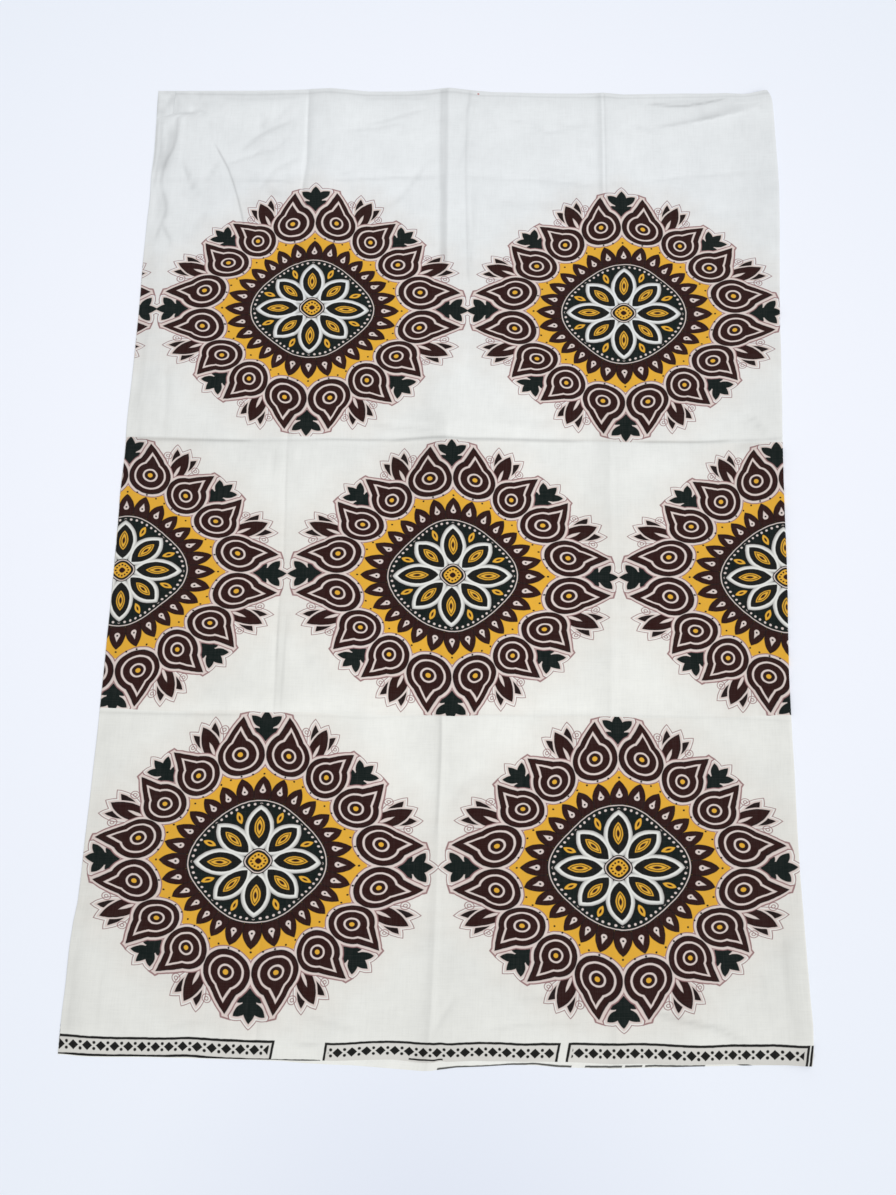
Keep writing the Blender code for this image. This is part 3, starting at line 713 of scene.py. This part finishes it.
def layered(tree, under, colour, share):
    """One colour laid over another, by its share."""
    mix = tree.nodes.new("ShaderNodeMix")
    mix.data_type = "RGBA"
    plug(tree, share, mix.inputs["Factor"])
    plug(tree, under, mix.inputs[6])
    plug(tree, colour, mix.inputs[7])
    return mix.outputs[2]


def faded(tree, value, start, end, low=0.0, high=1.0):
    """Low up to start, high from end on, and between them a straight line."""
    fade = tree.nodes.new("ShaderNodeMapRange")
    names = ("Value", "From Min", "From Max", "To Min", "To Max")
    for name, given in zip(names, (value, start, end, low, high)):
        plug(tree, given, fade.inputs[name])
    return fade.outputs["Result"]


def ink(under, shape, colour, edge=0.0):
    """Fills a shape out to a distance from its outline."""
    return layered(rosettes, under, colour, faded(rosettes, shape, edge + INK_EDGE, edge - INK_EDGE))


def inks(under, shape, *coats):
    """Fills a shape with one ink after another, each out to its own distance from the outline."""
    for colour, edge in coats:
        under = ink(under, shape, colour, edge)
    return under


def ink_line(under, shape, colour, middle, width):
    """Draws a line along a shape's outline, at a distance from it."""
    away = draw("ABSOLUTE", draw("SUBTRACT", shape, middle))
    return ink(under, away, colour, width / 2)


def petal_place(count, ring, turn=0.0, half=0.0):
    """The place in the nearest of so many petals, or of such pairs: how far out and to the side."""
    folded = draw("WRAP", draw("ADD", around, turn), pi / count, -pi / count)
    folded = draw("SUBTRACT", draw("ABSOLUTE", folded), half)
    out = draw("SUBTRACT", draw("MULTIPLY", radius, draw("COSINE", folded)), ring)
    return out, draw("MULTIPLY", radius, draw("SINE", folded))


def leaf(out, side, half_length, half_width):
    """A pointed oval: how far a place is outside it."""
    bow = (half_length**2 + half_width**2) / (2 * half_width)
    side = draw("ADD", draw("ABSOLUTE", side), bow - half_width)
    return draw("SUBTRACT", span(out, side), bow)


def leaning_leaf(out, side, tilt, start, half_length, half_width):
    """A pointed oval that leans sideways, its middle so far up its stalk."""
    ahead = draw("MULTIPLY_ADD", out, cos(tilt), draw("MULTIPLY", side, sin(tilt)))
    beside = draw("MULTIPLY_ADD", out, -sin(tilt), draw("MULTIPLY", side, cos(tilt)))
    return leaf(draw("SUBTRACT", ahead, start), beside, half_length, half_width)


def drop(out, side, head, length, thinning):
    """A round head with a tail that narrows to a tip."""
    left = faded(rosettes, out, 0.0, length, 1.0, 0.0)
    width = draw("MULTIPLY", draw("POWER", left, thinning), head)
    tail = draw("MULTIPLY", draw("SUBTRACT", draw("ABSOLUTE", side), width), TAIL_SLOPE)
    tail = draw("MAXIMUM", tail, draw("MAXIMUM", draw("MULTIPLY", out, -1.0), draw("SUBTRACT", out, length)))
    return draw("MINIMUM", draw("SUBTRACT", span(out, side), head), tail)


enter = rosettes.nodes.new("NodeGroupInput")
leave = rosettes.nodes.new("NodeGroupOutput")

# where the point is in its rosette
split = rosettes.nodes.new("ShaderNodeSeparateXYZ")
rosettes.links.new(enter.outputs["Place"], split.inputs[0])
from_end, from_selvage, _ = split.outputs
below_top = draw("LESS_THAN", from_selvage, ROW_BORDERS[0])
at_bottom = draw("LESS_THAN", from_selvage, ROW_BORDERS[1])


def by_row(values):
    """The first value in the top row, the second in the middle one and the third in the bottom one."""
    value = draw("MULTIPLY_ADD", below_top, values[1] - values[0], values[0])
    return draw("MULTIPLY_ADD", at_bottom, values[2] - values[1], value)


rise = draw("SUBTRACT", from_selvage, by_row(ROW_HEIGHTS))
half_pitch = by_row([pitch / 2 for pitch in ROW_PITCHES])
aside = draw("SUBTRACT", from_end, by_row(ROW_STARTS))
aside = draw("WRAP", aside, half_pitch, draw("MULTIPLY", half_pitch, -1.0))
aside = draw("MULTIPLY", draw("MULTIPLY_ADD", rise, ROSETTE_SLANT, aside), 1 / ROSETTE_STRETCH)
around = draw("ARCTAN2", rise, aside)
corners = draw("COSINE", draw("MULTIPLY", around, 4.0))
corners = draw("MULTIPLY_ADD", corners, -ROSETTE_CORNERS, 1 + ROSETTE_CORNERS)
radius = draw("MULTIPLY", span(aside, rise), corners)

# the crown: drops in pairs, a green sprig between the tips of each pair, and three lancets between the pairs
PAIRS = 8
SPRIG_RING = 138.0
LANCET_RING = 132.0
DROP_RING = 112.5
DROP_TURN = radians(11.3)  # from the middle of its pair
DROP_HEAD = 21.6
DROP_TAIL = 38.0
TAIL_THINNING = 0.90
TAIL_SLOPE = 0.85
TAIL_BEND = 0.0058
CROWN_HAZE = (2.0, 26.0)  # how far off the crown the pink haze starts and ends to fade
HAZE_SHARE = 0.20
out, side = petal_place(PAIRS, SPRIG_RING)
sprig = leaf(draw("SUBTRACT", out, 2.0), side, 16.5, 6.4)
sprig = draw("MINIMUM", sprig, leaning_leaf(out, side, 0.85, 8.6, 10.0, 4.6))
sprig = draw("MINIMUM", sprig, leaning_leaf(draw("ADD", out, 11.0), side, 0.80, 6.9, 8.2, 4.0))
out, side = petal_place(PAIRS, LANCET_RING, pi / PAIRS)
lancet = leaf(out, side, 23.5, 8.6)
side_lancet = leaning_leaf(draw("ADD", out, 6.0), side, 0.42, 13.0, 16.5, 5.2)
tendril = span(draw("SUBTRACT", out, 9.0), draw("SUBTRACT", side, 17.0))
vein = leaf(draw("ADD", out, 4.0), side, 9.0, 1.6)
out, side = petal_place(PAIRS, DROP_RING, half=DROP_TURN)
tail_bend = draw("MAXIMUM", out, 0.0)
tail_bend = draw("MULTIPLY", draw("MULTIPLY", tail_bend, tail_bend), TAIL_BEND)
curled = drop(out, draw("ADD", side, tail_bend), DROP_HEAD, DROP_TAIL, TAIL_THINNING)
eye = span(out, side)
crown = draw("MINIMUM", draw("MINIMUM", curled, sprig), draw("MINIMUM", lancet, side_lancet))
cloth_colour = enter.outputs["Cloth"]
colour = layered(rosettes, cloth_colour, INK_HAZE, faded(rosettes, crown, *CROWN_HAZE, HAZE_SHARE, 0.0))
colour = inks(colour, crown, (HAIRLINE, 4.0), (cloth_colour, 3.2), (PALE_PINK, 2.0))
colour = ink(colour, side_lancet, MAROON_RIM)
colour = inks(colour, lancet, (PALE_PINK, 1.6), (MAROON_RIM, 0.0), (MAROON, -1.0))
colour = ink(colour, vein, PALE_PINK)
colour = ink(colour, sprig, DARK_GREEN)
colour = ink_line(colour, tendril, HAIRLINE, 4.0, 0.8)
colour = ink_line(colour, tendril, HAIRLINE, 1.6, 0.8)

# the yellow field, which the heads of the drops scallop, and the drops on it
FIELD_RADIUS = 97.0
FIELD_BEADS = 56
FIELD_BEAD_RING = 90.0
BEAD_RADIUS = 1.0
colour = inks(colour, radius, (HAIRLINE, FIELD_RADIUS + 4.2), (PALE_PINK, FIELD_RADIUS + 3.0))
colour = ink(colour, radius, YELLOW, FIELD_RADIUS)
colour = inks(colour, curled, (HAIRLINE, 3.4), (PALE_PINK, 2.4), (MAROON_RIM, 0.0), (MAROON, -1.2))
colour = ink_line(colour, curled, PALE_PINK, -6.4, 1.9)
colour = ink(colour, eye, MAROON, 9.6)
colour = ink_line(colour, eye, PALE_PINK, 6.6, 1.8)
colour = inks(colour, eye, (MAROON_RIM, 3.6), (YELLOW, 2.4))
colour = ink(colour, span(*petal_place(FIELD_BEADS, FIELD_BEAD_RING)), DARK_GREEN, BEAD_RADIUS)

# the ring of lancets round the disc, and the disc with its ring of beads
SMALL_LANCETS = 28
SMALL_LANCET_RING = 70.0
DISC_RADIUS = 63.0
DISC_BEADS = 64
DISC_BEAD_RING = 58.0
DISC_BEAD_RADIUS = 1.2
out, side = petal_place(SMALL_LANCETS, SMALL_LANCET_RING)
lancet = leaf(out, side, 17.5, 8.3)
colour = inks(colour, lancet, (MAROON_RIM, 0.0), (MAROON, -1.0))
colour = ink(colour, drop(draw("SUBTRACT", out, 2.0), side, 2.7, 7.0, 1.0), PALE_PINK)
colour = ink(colour, span(draw("SUBTRACT", out, 2.4), side), DARK_GREEN, BEAD_RADIUS)
colour = ink(colour, radius, DARK_GREEN, DISC_RADIUS)
colour = ink_line(colour, radius, PALE_PINK, DISC_RADIUS - 1.4, 0.9)
colour = ink(colour, span(*petal_place(DISC_BEADS, DISC_BEAD_RING)), PALE_PINK, DISC_BEAD_RADIUS)

# the flower: eight pale petals with a yellow seed in each, small seeds between them, and a button
PETALS = 8
PETAL_RING = 33.0
SEED_RING = 49.0
BUTTON_RADIUS = 13.0
BUTTON_BEADS = 12
BUTTON_BEAD_RING = 6.2
out, side = petal_place(PETALS, PETAL_RING)
petal = leaf(out, side, 24.0, 13.4)
colour = inks(colour, petal, (BLACK, 1.6), (DOVE_GREY, 0.0))
colour = layered(rosettes, colour, cloth_colour, faded(rosettes, petal, 0.2, -2.6))
colour = ink(colour, petal, BLACK, -3.8)
out = draw("SUBTRACT", out, 1.0)
seed = leaf(out, side, 11.0, 4.4)
colour = ink(colour, seed, YELLOW)
colour = ink_line(colour, seed, BLACK, -1.5, 0.8)
colour = ink(colour, leaf(out, side, 4.0, 1.3), MAROON)
out, side = petal_place(PETALS, SEED_RING, pi / PETALS)
colour = ink(colour, leaf(out, side, 6.5, 2.8), YELLOW)
colour = ink(colour, leaf(out, side, 3.0, 1.0), MAROON)
colour = ink(colour, radius, BLACK, BUTTON_RADIUS)
colour = ink_line(colour, radius, PALE_PINK, 11.4, 1.0)
colour = ink(colour, radius, YELLOW, 8.6)
colour = ink(colour, span(*petal_place(BUTTON_BEADS, BUTTON_BEAD_RING)), MAROON, BEAD_RADIUS)
colour = ink(colour, radius, MAROON, 3.0)

# the selvage band: ruled boxes one after another, with a running row of lozenges and dots in each
BAND_REPEAT = 773.0
BAND_MIDDLE = 9.3
BAND_HALF = 8.6
BAND_LEAN = 0.15  # how far the ends of the boxes lean over, as a share of their height
BAND_GROUND = (0.690, 0.680, 0.645, 1.0)
BAND_RULE = 2.5  # how thick the rules of the boxes are
LOWEST_RULE = 1.5
Box = namedtuple("Box", "start end")
BOXES = (Box(-22.0, 213.6), Box(267.0, 498.0), Box(508.0, 744.6), Box(748.2, 986.6))
# where the lowest rule sinks past the edge of the cloth, and by how much
SINK_START = Box(262.0, 266.0)
SINK = 5.0
# on the half below the band runs higher, and its lowest rule shows in stretches along the very edge
HIGHER_START = Box(800.0, 850.0)
BAND_LIFT = 8.5
EDGE_RULE_MIDDLE = 1.0
EDGE_RULE_HALF = 0.9
EDGE_RULES = (Box(350.0, 384.0), Box(855.0, 916.0), Box(919.0, 937.0), Box(940.0, 976.0), Box(989.0, 1122.0))
LOZENGE_STEP = 7.0  # from a lozenge to the dots beside it
LOZENGE_HALF = 5.2
LOZENGE_SQUASH = 1.05
LOZENGE_RISE = 0.6  # how far the lozenges stand above the middle of the band
LOZENGE_SINK = 0.22  # the share of the sink by which they stand lower too
DOT_RISE = 3.1
DOT_RADIUS = 1.6
BOX_MARGIN = 3.4


def outside(at, boxes):
    """How far a place along the band is outside the nearest of the boxes."""
    nearest = None
    for box in boxes:
        away = draw("ABSOLUTE", draw("SUBTRACT", at, (box.start + box.end) / 2))
        away = draw("SUBTRACT", away, (box.end - box.start) / 2)
        nearest = away if nearest is None else draw("MINIMUM", nearest, away)
    return nearest


leaned = draw("ADD", from_end, BAND_LEAN * BAND_MIDDLE)
leaned = draw("MULTIPLY_ADD", from_selvage, -BAND_LEAN, leaned)
beside = outside(draw("WRAP", leaned, BAND_REPEAT, 0.0), BOXES)
sunk = faded(rosettes, from_end, *SINK_START, 0.0, SINK)
sunk = draw("MINIMUM", sunk, faded(rosettes, from_end, *HIGHER_START, SINK, 0.0))
up_band = draw("SUBTRACT", from_selvage, faded(rosettes, from_end, *HIGHER_START, 0.0, BAND_LIFT))
above = draw("SUBTRACT", up_band, BAND_MIDDLE + BAND_HALF)
below = draw("SUBTRACT", draw("SUBTRACT", BAND_MIDDLE - BAND_HALF, up_band), sunk)
box_edge = draw("MAXIMUM", beside, draw("MAXIMUM", above, below))
step = draw("ABSOLUTE", draw("WRAP", from_end, LOZENGE_STEP, -LOZENGE_STEP))
risen = draw("SUBTRACT", up_band, BAND_MIDDLE + LOZENGE_RISE)
risen = draw("ABSOLUTE", draw("MULTIPLY_ADD", sunk, LOZENGE_SINK, risen))
lozenges = draw("SUBTRACT", draw("MULTIPLY_ADD", risen, LOZENGE_SQUASH, step), LOZENGE_HALF)
dots = span(draw("SUBTRACT", step, LOZENGE_STEP), draw("SUBTRACT", risen, DOT_RISE))
filling = draw("MINIMUM", lozenges, draw("SUBTRACT", dots, DOT_RADIUS))
filling = draw("MAXIMUM", filling, draw("ADD", box_edge, BOX_MARGIN))
colour = ink(colour, box_edge, BAND_GROUND)
colour = ink(colour, filling, BLACK)
colour = ink_line(colour, draw("ADD", up_band, sunk), BLACK, BAND_MIDDLE - BAND_HALF, LOWEST_RULE)
off_edge_rule = draw("ABSOLUTE", draw("SUBTRACT", from_selvage, EDGE_RULE_MIDDLE))
off_edge_rule = draw("SUBTRACT", off_edge_rule, EDGE_RULE_HALF)
colour = ink(colour, draw("MAXIMUM", outside(from_end, EDGE_RULES), off_edge_rule), BLACK)
colour = ink_line(colour, box_edge, BLACK, 0.0, BAND_RULE)
rosettes.links.new(colour, leave.inputs["Colour"])

# The cotton
# Plain-weave cotton sheeting with uneven yarns, washed soft. It is a little bluer by the plain selvage and
# creamier below, and a stray red thread is caught in the plain selvage.

COOL_COTTON = (0.796, 0.825, 0.844, 1.0)
WARM_COTTON = (0.821, 0.828, 0.794, 1.0)
WARM_UP_TO = 520.0
COOL_FROM = 960.0
WORN_INK = (0.430, 0.410, 0.400, 1.0)
WORN_SHARE = 0.03  # how much of the ink is worn off the proudest yarns
REVERSE_SHARE = 0.55  # how strongly the print shows on the reverse
BAND_SHARE = 0.90  # and the band, whose heavy black went right through
BAND_TOP = (22.0, 24.0)  # between these the one share turns into the other
DRIFT = 7.0  # how far the print wanders over the cloth
WOBBLE = 0.9  # and how unsteady its outlines are
RED_THREAD = (0.520, 0.120, 0.110, 1.0)
THREAD_PLACE = (392.0, 1098.2, 0.0)
THREAD_EDGE = (1.7, 0.9)
THREAD_SHARE = 0.8
WASHED_SHARE = 0.055  # the light that the washed, the handled and the thin places take
HANDLED_SHARE = 0.026
THIN_SHARE = 0.040
WASHED_LEVELS = (0.30, 0.70)  # and the levels of the patches from which and up to which they take more
HANDLED_LEVELS = (0.36, 0.70)
THIN_LEVELS = (0.90, 1.40)
WORN_LEVELS = (0.85, 1.45)
PUCKER_RELIEF = 0.26
STREAK_RELIEF = 0.12
YARN_RELIEF = 0.04
COTTON_ROUGHNESS = 0.88
COTTON_SHEEN = 0.06
SHEEN_ROUGHNESS = 0.5
COTTON_GLOSS = 0.14


def move(tree, operation, *values):
    """A node that works out a place from places."""
    return reckon(tree, operation, *values, kind="ShaderNodeVectorMath")


def away_from(tree, middle, at):
    """How far a place is from a spot."""
    distance = tree.nodes.new("ShaderNodeVectorMath")
    distance.operation = "DISTANCE"
    plug(tree, at, distance.inputs[0])
    plug(tree, middle, distance.inputs[1])
    return distance.outputs["Value"]


def cotton_finish(name, face_up):
    """The woven cotton with its print, seen from its face or its reverse."""
    cotton = bpy.data.materials.new(name)
    cotton.use_nodes = True
    tree = cotton.node_tree
    shader = tree.nodes["Principled BSDF"]
    flat = tree.nodes.new("ShaderNodeUVMap")
    flat.uv_map = "cloth"
    here = move(tree, "MULTIPLY", flat.outputs[0], (MILLIMETRES, MILLIMETRES, 0.0))

    def mottle(scale, detail=2.0, stretch=(1.0, 1.0, 1.0), seed=0.0):
        """Soft uneven patches, their size in millimetres being about one over the scale."""
        mapping = tree.nodes.new("ShaderNodeMapping")
        tree.links.new(here, mapping.inputs["Vector"])
        mapping.inputs["Scale"].default_value = stretch
        mapping.inputs["Location"].default_value = (seed, seed, seed)
        patches = tree.nodes.new("ShaderNodeTexNoise")
        tree.links.new(mapping.outputs[0], patches.inputs["Vector"])
        patches.inputs["Scale"].default_value = scale
        patches.inputs["Detail"].default_value = detail
        return patches

    # the place, drawn a little unsteadily
    drift = mottle(0.012, 1.0, seed=11.0).outputs["Color"]
    wobble = mottle(0.16, 2.0, seed=5.0).outputs["Color"]
    middle = (DRIFT + WOBBLE) / 2
    drawn = move(tree, "MULTIPLY_ADD", drift, (DRIFT, DRIFT, 0.0), here)
    drawn = move(tree, "MULTIPLY_ADD", wobble, (WOBBLE, WOBBLE, 0.0), drawn)
    drawn = move(tree, "SUBTRACT", drawn, (middle, middle, 0.0))

    parts = tree.nodes.new("ShaderNodeSeparateXYZ")
    tree.links.new(here, parts.inputs[0])
    coolness = faded(tree, parts.outputs["Y"], WARM_UP_TO, COOL_FROM)
    bare = layered(tree, WARM_COTTON, COOL_COTTON, coolness)
    # what the unevenness of the washed yarns takes from the colour
    washed = mottle(0.02, 3.0, seed=3.0).outputs["Fac"]
    taken = faded(tree, washed, *WASHED_LEVELS, 0.0, WASHED_SHARE)
    handled = mottle(0.10, 3.0, (1.0, 0.8, 1.0), 13.0).outputs["Fac"]
    taken = reckon(tree, "ADD", taken, faded(tree, handled, *HANDLED_LEVELS, 0.0, HANDLED_SHARE))
    yarns = mottle(0.9, 2.0, (1.0, 0.05, 1.0), 7.0)
    wefts = mottle(0.9, 2.0, (0.05, 1.0, 1.0), 9.0)
    slubs = reckon(tree, "ADD", yarns.outputs["Fac"], wefts.outputs["Fac"])
    taken = reckon(tree, "ADD", taken, faded(tree, slubs, *THIN_LEVELS, 0.0, THIN_SHARE))
    evenness = reckon(tree, "SUBTRACT", 1.0, taken)

    print_node = tree.nodes.new("ShaderNodeGroup")
    print_node.node_tree = rosettes
    tree.links.new(drawn, print_node.inputs["Place"])
    tree.links.new(bare, print_node.inputs["Cloth"])
    worn = faded(tree, slubs, *WORN_LEVELS, 0.0, WORN_SHARE)
    colour = layered(tree, print_node.outputs["Colour"], WORN_INK, worn)
    if not face_up:
        strength = faded(tree, parts.outputs["Y"], *BAND_TOP, BAND_SHARE, REVERSE_SHARE)
        colour = layered(tree, bare, colour, strength)
    on_thread = faded(tree, away_from(tree, THREAD_PLACE, here), *THREAD_EDGE, 0.0, THREAD_SHARE)
    colour = layered(tree, colour, RED_THREAD, on_thread)
    # the painted shade and light of the creases, folds and panels, and the painted shade of the margins,
    # from the mesh
    painted_light_share = tree.nodes.new("ShaderNodeAttribute")
    painted_light_share.attribute_name = "light_share"
    lit = tree.nodes.new("ShaderNodeMix")
    lit.data_type = "RGBA"
    lit.blend_type = "MULTIPLY"
    lit.inputs["Factor"].default_value = 1.0
    tree.links.new(colour, lit.inputs[6])
    tree.links.new(reckon(tree, "MULTIPLY", painted_light_share.outputs["Fac"], evenness), lit.inputs[7])
    tree.links.new(lit.outputs[2], shader.inputs["Base Color"])
    shader.inputs["Roughness"].default_value = COTTON_ROUGHNESS
    shader.inputs["Sheen Weight"].default_value = COTTON_SHEEN
    shader.inputs["Sheen Roughness"].default_value = SHEEN_ROUGHNESS
    shader.inputs["Specular IOR Level"].default_value = COTTON_GLOSS

    # the relief of the yarns and of the puckers that the mesh is too coarse for
    puckers = mottle(0.05, 2.0, seed=2.0).outputs["Fac"]
    relief = reckon(tree, "MULTIPLY", puckers, PUCKER_RELIEF / MILLIMETRES)
    streaks = mottle(0.10, 2.0, (0.22, 1.0, 1.0), 21.0)
    for raised, height in ((streaks, STREAK_RELIEF), (yarns, YARN_RELIEF), (wefts, YARN_RELIEF)):
        relief = reckon(tree, "MULTIPLY_ADD", raised.outputs["Fac"], height / MILLIMETRES, relief)
    bump = tree.nodes.new("ShaderNodeBump")
    bump.inputs["Distance"].default_value = 1.0
    bump.inputs["Strength"].default_value = 1.0
    tree.links.new(relief, bump.inputs["Height"])
    tree.links.new(bump.outputs[0], shader.inputs["Normal"])
    return cotton


cloth_mesh.materials.append(cotton_finish("printed cotton", True))
cloth_mesh.materials.append(cotton_finish("cotton reverse", False))

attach(cloth, "root")
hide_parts("upper_layer", "under_layer")

# The floor
# A plain pale studio floor, with painted shade that darkens it a little away from the middle and more in
# front of the cloth. Its sizes are in metres.

FLOOR_SIZE = 6.0
FLOOR_DROP = 0.0001  # how far it lies under the cloth
FLOOR_ROUGHNESS = 0.8
PALE_FLOOR = (0.853, 0.881, 0.957, 1.0)
SHADED_FLOOR = (0.765, 0.812, 0.892, 1.0)
LIGHTEST_SPOT = (0.01, 0.08, 0.0)
FALLOFF_REACH = (0.38, 0.95)  # how far from the lightest spot the painted shade starts and ends
# painted shade, darker in front of the printed selvage
DIMMER_FLOOR = (0.700, 0.745, 0.845, 1.0)
DIM_SPOT = (0.0, -0.76, 0.0)
DIMMING = (0.32, 0.06)
DIM_SHARE = 0.80
bpy.ops.mesh.primitive_plane_add(size=FLOOR_SIZE, location=(0.0, 0.0, -FLOOR_DROP))
floor = bpy.context.object
floor.name = "floor"
paint = bpy.data.materials.new("pale floor")
paint.use_nodes = True
paint_tree = paint.node_tree
floor_place = paint_tree.nodes.new("ShaderNodeTexCoord").outputs["Object"]
floor_falloff = faded(paint_tree, away_from(paint_tree, LIGHTEST_SPOT, floor_place), *FALLOFF_REACH)
dimness = faded(paint_tree, away_from(paint_tree, DIM_SPOT, floor_place), *DIMMING, 0.0, DIM_SHARE)
tone = layered(paint_tree, PALE_FLOOR, SHADED_FLOOR, floor_falloff)
tone = layered(paint_tree, tone, DIMMER_FLOOR, dimness)
floor_shader = paint_tree.nodes["Principled BSDF"]
paint_tree.links.new(tone, floor_shader.inputs["Base Color"])
floor_shader.inputs["Roughness"].default_value = FLOOR_ROUGHNESS
floor.data.materials.append(paint)

# The light and the camera
# Soft daylight fills the room, and one broad light stands off to the right. The camera looks down on the
# cloth from just beyond its printed selvage.

ROOM_LIGHT = 0.70
BROAD_LIGHT = 1.65
BROAD_LIGHT_WIDTH = radians(48)
FROM_LIGHT = Vector((0.94, -0.34, 0.86))
world = bpy.data.worlds.new("room")
world.use_nodes = True
world.node_tree.nodes["Background"].inputs["Color"].default_value = (1.0, 1.0, 1.0, 1.0)
world.node_tree.nodes["Background"].inputs["Strength"].default_value = ROOM_LIGHT
bpy.context.scene.world = world
sun = bpy.data.lights.new("broad light", "SUN")
sun.energy = BROAD_LIGHT
sun.angle = BROAD_LIGHT_WIDTH
sun_object = bpy.data.objects.new("broad light", sun)
sun_object.rotation_euler = FROM_LIGHT.to_track_quat("Z", "Y").to_euler()
bpy.context.scene.collection.objects.link(sun_object)

PHOTO_HEIGHT = 1195
FOCAL_LENGTH = 897  # in the photo's pixels
SENSOR = 36.0
CAMERA_PLACE = (0.0138, -0.26374, 0.96389)
CAMERA_TURN = (10.8161, 0.5568, 1.4191)  # in degrees
camera_data = bpy.data.cameras.new("camera")
camera_data.sensor_width = SENSOR
camera_data.lens = SENSOR * FOCAL_LENGTH / PHOTO_HEIGHT
camera = bpy.data.objects.new("camera", camera_data)
camera.location = CAMERA_PLACE
camera.rotation_euler = [radians(turn) for turn in CAMERA_TURN]
bpy.context.scene.collection.objects.link(camera)
bpy.context.scene.camera = camera
bpy.context.scene.view_settings.view_transform = "Standard"
